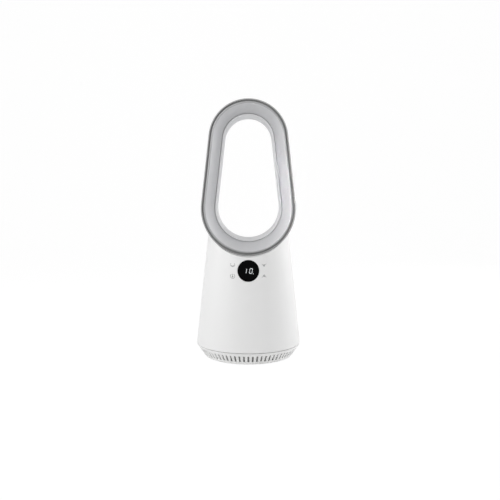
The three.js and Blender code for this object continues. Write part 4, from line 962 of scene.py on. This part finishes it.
# ---------------- the air loop
FLARE_WALL = 2.5 * MM
FLARE_LIP = 0.8 * MM  # the flare's back edge, past the foot of its slope
SEAT_GAP = 0.3 * MM  # between pieces that lie against each other
FRONT_ROUND = 0.8 * MM  # of the shell's front lip
SHELL_FLAT, TUNNEL_FLAT = 3 * MM, 4 * MM  # flat back edges beside the seam
SEAM_CUT = 0.5 * MM
OUTSIDE_STEPS, INSIDE_STEPS = 14, 10  # points of the rounded back edges
BEAD_BACK, BEAD_RISE = 1.4 * MM, 1.1 * MM
NOSE_CUT, NOSE_DROP = 0.3 * MM, 0.4 * MM
TUNNEL_LAND = 20 * MM  # depth of the tunnel's straight outer wall
TRIM_ROUND = 0.6 * MM
# The curled back edge of the flare, in millimetres inwards from its lip and back.
CURL = ((0.1, 0.6), (0, 1.8), (0.7, 3.3), (2.1, 4.2))


def loop_stations(arc_step=2.0, straight_steps=10):
    """Directions, radii and centres round the loop's outline."""
    loop = sizes().fan_loop
    upper = (loop.upper_radius, loop.upper_centre)
    lower = (loop.lower_radius, loop.lower_centre)
    lean = math.asin((lower[0] - upper[0]) / (upper[1] - lower[1]))

    def arc(first, last, end):
        count = round(math.degrees(last - first) / arc_step)
        return [(angle, *end) for angle in spread(first, last, count)]

    def straight(angle, start, end):
        radii, centres = (spread(a, b, straight_steps)[1:-1] for a, b in zip(start, end))
        return [(angle, *pair) for pair in zip(radii, centres)]

    return [
        *arc(lean, math.pi - lean, upper), *straight(math.pi - lean, upper, lower),
        *arc(math.pi - lean, TURN + lean, lower), *straight(lean, lower, upper),
    ]


def loop_sweep(skin, section):
    """Carries a closed section of (inwards, y) pairs round the loop."""
    rows = []
    for angle, radius, centre in loop_stations():
        points = []
        for inwards, y in section:
            reach = radius - inwards
            points.append((math.cos(angle) * reach, y, centre + math.sin(angle) * reach))
        rows.append(skin.row(points))
    skin.bridge_all(rows, round_again=True)


def shell_section():
    loop = sizes().fan_loop
    front, back = -loop.depth / 2, loop.depth / 2
    start = back - loop.back_round
    edge = loop.back_seam - SHELL_FLAT
    outside = quarter(0.0, start, edge, back, OUTSIDE_STEPS)
    inside = quarter(loop.wall, start, edge, back - loop.wall, INSIDE_STEPS)[::-1]
    seam = [(loop.back_seam, back), (loop.back_seam, back - loop.wall)]
    whole = [(0.0, front), *outside, *seam, *inside, (loop.wall, front)]
    corner = len(outside)
    keep = [i for i in range(1, len(whole) - 1) if i not in (corner + 1, corner + 2)]
    return rounded_outline(whole, FRONT_ROUND, keep=keep)


def flare_marks():
    """Offsets and depths that the flare and the tunnel share."""
    loop = sizes().fan_loop
    bead = loop.wall + loop.groove_width
    slope = bead + loop.bead_width
    slope_front = loop.bead_step - loop.depth / 2
    return bead, slope, slope + loop.slope_width, slope_front, slope_front + loop.slope_depth


def flare_section():
    loop = sizes().fan_loop
    bead, slope, end, slope_front, slope_back = flare_marks()
    front = -loop.depth / 2
    floor = front + loop.groove_depth
    start = loop.wall + SEAT_GAP
    run = Vector((loop.slope_width, loop.slope_depth))
    bulge = Vector((run.y, -run.x)).normalized()
    half = loop.bead_width / 2
    crown = [
        (bead + half - half * math.cos(turn), front + BEAD_BACK - BEAD_RISE * math.sin(turn))
        for turn in spread(0, math.pi, 8)
    ]
    face = []
    for share in spread(0, 1, 14):
        rise = 4 * loop.slope_crown * share * (1 - share)
        across = slope + run.x * share + bulge.x * rise
        face.append((across, slope_front + run.y * share + bulge.y * rise))
    curl = [
        (end + FLARE_LIP - inwards * MM, slope_back + depth * MM) for inwards, depth in CURL
    ]
    return [
        (start, floor + FLARE_WALL), (start, floor), (bead, floor), *crown, *face, *curl,
        (end - bulge.x * FLARE_WALL, slope_back - bulge.y * FLARE_WALL),
        (bead + FLARE_WALL, slope_front + FLARE_WALL + 2 * FLARE_LIP),
        (bead + FLARE_WALL, floor + FLARE_WALL),
    ]


def tunnel_section():
    loop = sizes().fan_loop
    _, _, end, _, slope_back = flare_marks()
    back = loop.depth / 2
    start = back - loop.back_round
    gap = end + FLARE_LIP + loop.air_gap
    lip = gap + loop.nose
    face = lip + loop.tunnel_draft
    seam = loop.back_seam + SEAT_GAP
    edge = seam + TUNNEL_FLAT
    inner = quarter(face, start, edge, back, OUTSIDE_STEPS)
    outer = quarter(face - FLARE_WALL, start, edge, back - loop.wall, INSIDE_STEPS)[::-1]
    return [
        (gap, slope_back + NOSE_DROP), (gap + NOSE_CUT, slope_back),
        (lip - NOSE_CUT, slope_back), (lip, slope_back + NOSE_DROP),
        *inner, (seam + SEAM_CUT, back), (seam, back - SEAM_CUT),
        (seam, back - loop.wall), *outer, (gap, slope_back + TUNNEL_LAND),
    ]


def trim_section():
    loop = sizes().fan_loop
    back = -loop.depth / 2 + loop.groove_depth - SEAT_GAP
    front = back - loop.trim_depth
    low, high = loop.wall + SEAT_GAP, loop.wall + loop.groove_width - SEAT_GAP
    corners = [(low, front), (low, back), (high, back), (high, front)]
    return rounded_outline(corners, TRIM_ROUND, steps=3)


class FAN_OT_air_loop(Operator):
    """Builds the tall hollow loop: its shell, groove trim, flare and tunnel"""

    bl_idname = "fan.air_loop"
    bl_label = "Air loop"

    NECK_OUTER, NECK_INNER = 51.5 * MM, 48.9 * MM
    NECK_SINK = 1.2 * MM  # the neck goes this far into the loop's wall
    NECK_FACETS = 96

    def execute(self, context):
        colours = context.scene.fan_colours
        _, _, _, slope_front, _ = flare_marks()
        silver = silver_paint("tunnel paint", tuple(colours.tunnel))
        # The flare's paint carries painted shade on its front bead, in front of the slope.
        flare_paint_with_shade = silver_paint("flare paint", tuple(colours.silver), painted_shade_front=slope_front)
        outer = silver_paint("shell paint", tuple(colours.outer))
        dark = moulded_plastic("groove trim", tuple(colours.trim), 0.5)
        for name, section, material, slot, node in (
            ("loop_cover", shell_section(), outer, "silver_loop", "loop_shell"),
            ("loop_front_flare", flare_section(), flare_paint_with_shade, "silver_loop", "loop_flare"),
            ("loop_inner_tunnel", tunnel_section(), silver, "silver_loop", "loop_tunnel"),
            ("loop_groove_trim", trim_section(), dark, "dark_trim", "loop_trim"),
        ):
            skin = Skin()
            loop_sweep(skin, section)
            if node == "loop_shell":
                self.add_neck(skin)
            piece(name, skin, material, "upper", slot, node)
        return {"FINISHED"}

    def add_neck(self, skin):
        """The pipe under the loop that goes down into the body."""
        loop = sizes().fan_loop
        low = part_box("loop_shell")[0].z
        reach = loop.lower_radius - self.NECK_SINK
        rows = []
        for radius, high in (
            (self.NECK_OUTER, False), (self.NECK_OUTER, True),
            (self.NECK_INNER, True), (self.NECK_INNER, False),
        ):
            points = []
            for angle in full_turn(self.NECK_FACETS):
                x, y, z = turned(radius, angle, low)
                top = loop.lower_centre - math.sqrt(reach * reach - x * x)
                points.append((x, y, top if high else z))
            rows.append(skin.row(points))
        skin.bridge_all(rows, round_again=True)


# ---------------- display and symbols
# How far the lit bars and the ink stand proud, and how far they reach in.
LIT_LAYER = (0.06 * MM, 0.1 * MM)
INK_LAYER = (0.03 * MM, 0.05 * MM)


def flat_slab(skin, outline, front, back):
    """A thin slab on the body's front from a flat outline of (x, up) pairs."""
    top = skin.row([on_body(x, up, -front) for x, up in outline])
    low = skin.row([on_body(x, up, back) for x, up in outline])
    skin.bridge(top, low)
    skin.faces += [tuple(top), tuple(reversed(low))]


def stroke(skin, path, width, front, back):
    """A line of even width along an open flat path."""
    points = [Vector(p) for p in path]
    last = len(points) - 1
    left, right = [], []
    for i, point in enumerate(points):
        along = (points[min(i + 1, last)] - points[max(i - 1, 0)]).normalized()
        side = Vector((-along.y, along.x)) * width / 2
        left.append(point + side)
        right.append(point - side)
    rows = [
        skin.row([on_body(*p, depth) for p in edge])
        for edge, depth in ((left, -front), (right, -front), (right, back), (left, back))
    ]
    skin.bridge_all(rows, closed=False, round_again=True)
    skin.faces += [tuple(row[end] for row in rows) for end in (0, -1)]


def circle(x, up, radius, first=0, last=360, steps=28):
    return [
        (x + radius * math.cos(angle), up + radius * math.sin(angle))
        for angle in spread(math.radians(first), math.radians(last), steps)
    ]


class FAN_OT_display(Operator):
    """Builds the black display window and the lit digits in it"""

    bl_idname = "fan.display"
    bl_label = "Display"

    AROUND = 96
    RING_SHARES = (0.15, 0.4, 0.65, 0.85, 0.96)  # rings of the flat face
    RIM_ROUND, RIM_SINK = 0.25 * MM, 0.02 * MM
    ONE_AT, NOUGHT_AT = -7.2 * MM, 5.8 * MM
    POINT_AT, POINT_RADIUS = (11.0 * MM, -6.4 * MM), 0.8 * MM
    BAR_GAP = 0.25 * MM
    # Ends of a digit's bars, in halves of its width and height.
    BARS = {
        "a": ((-1, 1), (1, 1)),
        "b": ((1, 1), (1, 0)),
        "c": ((1, 0), (1, -1)),
        "d": ((-1, -1), (1, -1)),
        "e": ((-1, 0), (-1, -1)),
        "f": ((-1, 1), (-1, 0)),
    }

    def execute(self, context):
        scene = context.scene
        edge = scene.fan_display.window_radius
        thick = scene.fan_display.window_thickness
        skin = Skin()
        circles = [(edge * share, 0.0) for share in self.RING_SHARES]
        circles += [(edge - self.RIM_ROUND, self.RIM_SINK), (edge, self.RIM_ROUND)]
        circles += [(edge, thick), (edge * 0.5, thick)]
        rows = []
        for radius, inwards in circles:
            flat = circle(0, 0, radius, steps=self.AROUND)[:-1]
            rows.append(skin.row([on_body(*point, inwards) for point in flat]))
        skin.bridge_all(rows)
        skin.cap(rows[0], on_body(0.0, 0.0))
        skin.cap(rows[-1], on_body(0.0, 0.0, thick))
        black = smoked_window("smoked window", tuple(scene.fan_colours.window))
        piece("window_disc", skin, black, "upper", "black_gloss", "display_window")
        glow = lit_digit("lit digits", tuple(scene.fan_colours.digits))
        digits = Skin()
        self.digit(digits, self.ONE_AT, "bc")
        self.digit(digits, self.NOUGHT_AT, "abcdef")
        point = circle(*self.POINT_AT, self.POINT_RADIUS, steps=15)[:-1]
        flat_slab(digits, point, *LIT_LAYER)
        piece("lit_digits", digits, glow, "upper", "black_gloss")
        return {"FINISHED"}

    def digit(self, skin, x, bars):
        """One digit about a middle, from the letters of its lit bars."""
        display = sizes().fan_display
        half_width, half_height = display.digit_width / 2, display.digit_height / 2
        for bar in bars:
            start, end = (Vector((a * half_width, b * half_height)) for a, b in self.BARS[bar])
            along = (end - start).normalized()
            start, end = start + along * self.BAR_GAP, end - along * self.BAR_GAP
            along *= display.digit_stroke / 2
            side = Vector((-along.y, along.x))
            outline = [
                start, start + along + side, end - along + side,
                end, end - along - side, start + along - side,
            ]
            leaned = [(x + p.x + p.y * math.tan(display.digit_lean), p.y) for p in outline]
            flat_slab(skin, leaned, *LIT_LAYER)


class FAN_OT_symbols(Operator):
    """Prints the four touch symbols beside the display"""

    bl_idname = "fan.symbols"
    bl_label = "Touch symbols"

    def execute(self, context):
        scene = context.scene
        display = scene.fan_display
        across, up, size = display.symbol_across, display.symbol_up, display.symbol_size
        self.skin = Skin()
        self.swing_symbol(-across, up, size)
        self.power_symbol(-across, -up, size)
        self.arrow_symbol(across, up, size, -1)
        self.arrow_symbol(across, -up, size, 1)
        ink = printed_ink("symbol ink", tuple(scene.fan_colours.symbols))
        piece("touch_symbols", self.skin, ink, "upper", "grey_plastic")
        return {"FINISHED"}

    def line(self, path):
        stroke(self.skin, path, sizes().fan_display.symbol_stroke, *INK_LAYER)

    def spot(self, x, up, radius):
        flat_slab(self.skin, circle(x, up, radius, steps=24)[:-1], *INK_LAYER)

    def power_symbol(self, x, up, size):
        self.line(circle(x, up, size * 0.95, 118, 422))
        self.line([(x, up - size * 0.2), (x, up + size)])
        self.spot(x, up - size * 0.2, size * 0.36)

    def swing_symbol(self, x, up, size):
        self.line(circle(x, up + size * 0.3, size * 0.95, 180, 360))
        self.line(circle(x, up + size * 0.1, size * 0.5, 190, 350))
        for side in (-size, size):
            start = (x + side * 0.6, up + size * 0.45)
            self.line([start, (x + side * 0.95, up + size * 0.7)])

    def arrow_symbol(self, x, up, size, way):
        arm = size * 0.9
        foot = up - way * arm * 0.6
        self.line([(x - arm, foot), (x, up + way * arm * 0.8), (x + arm, foot)])
        self.spot(x, up, size * 0.34)


# ---------------- pieces that keep their CAD solids
class FAN_OT_inner_pieces(Operator):
    """Gives every piece that keeps its own solid its finish"""

    bl_idname = "fan.inner_pieces"
    bl_label = "Inner pieces"

    def execute(self, context):
        base = tuple(context.scene.fan_colours.base)
        grey = moulded_plastic("grey moulding", (0.27, 0.28, 0.3), 0.5)
        finishes = {
            "white_base": moulded_plastic(
                "base plate white", base, 0.5, grain=1500, depth=0.00004
            ),
            "white_shell": moulded_plastic("inner white", base, 0.5),
            "silver_loop": grey,
            "dark_trim": grey,
            "black_gloss": grey,
            "black_plastic": moulded_plastic("black moulding", (0.012, 0.012, 0.013), 0.45),
            "grey_plastic": grey,
            "ivory_plastic": moulded_plastic(
                "natural acetal", (0.76, 0.75, 0.66), 0.36, grain=900, depth=0.00001
            ),
            "soft_rubber": rubber("soft rubber", (0.02, 0.02, 0.022)),
            "steel": machined_metal("zinc-plated steel", (0.5, 0.52, 0.55)),
            "brass": machined_metal("turned brass", (0.52, 0.36, 0.13), 0.28),
            "laminations": stacked_sheets("stacked sheets", (0.2, 0.21, 0.23)),
            "copper": wound_copper("copper windings", (0.5, 0.18, 0.07)),
            "ferrite": machined_metal(
                "sintered ferrite", (0.06, 0.06, 0.065), 0.6, along=(1, 1, 1)
            ),
            "circuit_board": circuit_board("circuit board", (0.02, 0.15, 0.06)),
            "wire_cover": moulded_plastic("wire cover", (0.015, 0.015, 0.016), 0.4, grain=700),
        }
        slots = {row["node"]: row["material_slot"] for row in frame["record"]["subparts"]}
        for node, thing in frame["nodes"].items():
            thing.data.materials.clear()
            thing.data.materials.append(finishes[slots[node]])
        return {"FINISHED"}


# ---------------- the studio
class FAN_OT_stage(Operator):
    """Sets up the floor, the backdrop, the lamps and the camera"""

    bl_idname = "fan.stage"
    bl_label = "Stage"

    SHEET_FRONT, SHEET_BACK = -3.0, 3.2
    SHEET_BEND = 1.2
    SHEET_TOP = 4.0
    SHEET_COLUMNS = (-5.0, -1.0, 1.0, 5.0)
    GLOW = 1.05
    SHOWN = 0.9  # share of the glow in what the camera sees, and the rest keeps the shadow

    def execute(self, context):
        scene = context.scene
        studio = scene.fan_studio
        self.floor()
        self.sky(studio.sky_strength)
        self.lamp("key lamp", (-1.5, -1.25, 1.15), (0, 0, 0.33), 1.1, 1.3, studio.key_power)
        self.lamp("side lamp", (-1.7, -0.25, 0.95), (0, 0, 0.4), 0.8, 1.6, studio.side_power)
        self.lamp(
            "loop lamp", (-0.9, -1.5, 0.5), (0.11, -0.05, 0.4), 0.1, 0.1, studio.loop_power, 9
        )
        self.lamp("front lamp", (-0.3, -2.2, 1.7), (0, 0, 0.35), 1.6, 1.2, studio.front_power)
        self.lamp("fill lamp", (1.7, -0.4, 0.85), (0, 0, 0.4), 0.8, 1.6, studio.fill_power)
        self.lamp("rim lamp", (1.6, 0.75, 0.75), (0, 0, 0.3), 0.9, 1.3, studio.rim_power)
        self.camera(studio)
        scene.view_settings.view_transform = "Standard"
        return {"FINISHED"}

    def floor(self):
        """A pale sheet that turns up into the backdrop. It shows white, and keeps the shadow."""
        bend = self.SHEET_BEND
        bend_start = self.SHEET_BACK - bend
        profile = [(self.SHEET_FRONT, 0.0)]
        profile += [
            (bend_start + bend * math.sin(turn), bend - bend * math.cos(turn))
            for turn in spread(0, TURN / 4, 12)
        ]
        profile.append((self.SHEET_BACK, self.SHEET_TOP))
        skin = Skin()
        rows = [skin.row([(x, y, z) for x in self.SHEET_COLUMNS]) for y, z in profile]
        skin.bridge_all(rows, closed=False)
        finish = Finish("studio paper")
        paper = finish.blend(finish.noise(40), (0.86, 0.86, 0.86), (0.89, 0.89, 0.89))
        finish.surface(Base_Color=paper, Roughness=0.9)
        glow = finish.node("ShaderNodeEmission", None, {"Color": WHITE, "Strength": self.GLOW})
        plain = Wire(finish, finish.shader.outputs[0])
        shown = finish.mixed(finish.seen() * self.SHOWN, plain, glow)
        finish.feed(finish.tree.nodes["Material Output"].inputs["Surface"], shown)
        placed("studio_floor", skin.mesh("studio_floor", finish.material))

    def sky(self, strength):
        """Even light on the fan, and plain white for all that sees the sky."""
        world = bpy.data.worlds.new("studio sky")
        bpy.context.scene.world = world
        world.use_nodes = True
        world.node_tree.nodes.clear()
        sky = Nodes(world.node_tree)
        even, white = (
            sky.node("ShaderNodeBackground", None, {"Color": WHITE, "Strength": level})
            for level in (strength, 1.0)
        )
        sky.node("ShaderNodeOutputWorld", None, {"Surface": sky.mixed(sky.seen(), even, white)})

    def lamp(self, name, at, towards, width, height, energy, spread_degrees=180):
        data = bpy.data.lights.new(name, "AREA")
        data.shape = "RECTANGLE"
        data.size = width
        data.size_y = height
        data.energy = energy
        data.spread = math.radians(spread_degrees)
        lamp = placed(name, data)
        lamp.location = at
        lamp.rotation_mode = "QUATERNION"
        lamp.rotation_quaternion = (Vector(towards) - Vector(at)).to_track_quat("-Z", "Y")

    def camera(self, studio):
        data = bpy.data.cameras.new("camera")
        data.lens = studio.camera_lens
        data.sensor_width = 36
        data.sensor_fit = "HORIZONTAL"
        camera = placed("camera", data)
        camera.location = (studio.camera_side, -studio.camera_back, studio.camera_height)
        camera.rotation_euler = (TURN / 4 - studio.camera_dip, 0, 0)
        bpy.context.scene.camera = camera


class FAN_PT_panel(Panel):
    """Buttons for the fan's pieces"""

    bl_idname = "FAN_PT_panel"
    bl_label = "Bladeless Fan"
    bl_space_type = "VIEW_3D"
    bl_region_type = "UI"
    bl_category = "Fan"

    def draw(self, context):
        for step in STEPS:
            self.layout.operator(step.bl_idname)
        for group in GROUPS:
            box = self.layout.box()
            for name in GROUPS[group].__annotations__:
                box.prop(getattr(context.scene, group), name)


GROUPS = {
    "fan_body": FanBodySizes,
    "fan_loop": FanLoopSizes,
    "fan_base": FanBaseSizes,
    "fan_display": FanDisplaySizes,
    "fan_colours": FanColours,
    "fan_studio": FanStudio,
}
STEPS = (
    FAN_OT_stage,
    FAN_OT_inner_pieces,
    FAN_OT_base_ring,
    FAN_OT_dust_screen,
    FAN_OT_body,
    FAN_OT_air_loop,
    FAN_OT_display,
    FAN_OT_symbols,
)


def register():
    for cls in (*GROUPS.values(), *STEPS, FAN_PT_panel):
        bpy.utils.register_class(cls)
    for name, cls in GROUPS.items():
        setattr(bpy.types.Scene, name, PointerProperty(type=cls))


def unregister():
    for name in GROUPS:
        delattr(bpy.types.Scene, name)
    for cls in (FAN_PT_panel, *reversed(STEPS), *reversed(GROUPS.values())):
        bpy.utils.unregister_class(cls)


def main():
    register()
    for step in STEPS:
        family, name = step.bl_idname.split(".")
        getattr(getattr(bpy.ops, family), name)()


if __name__ == "__main__":
    main()
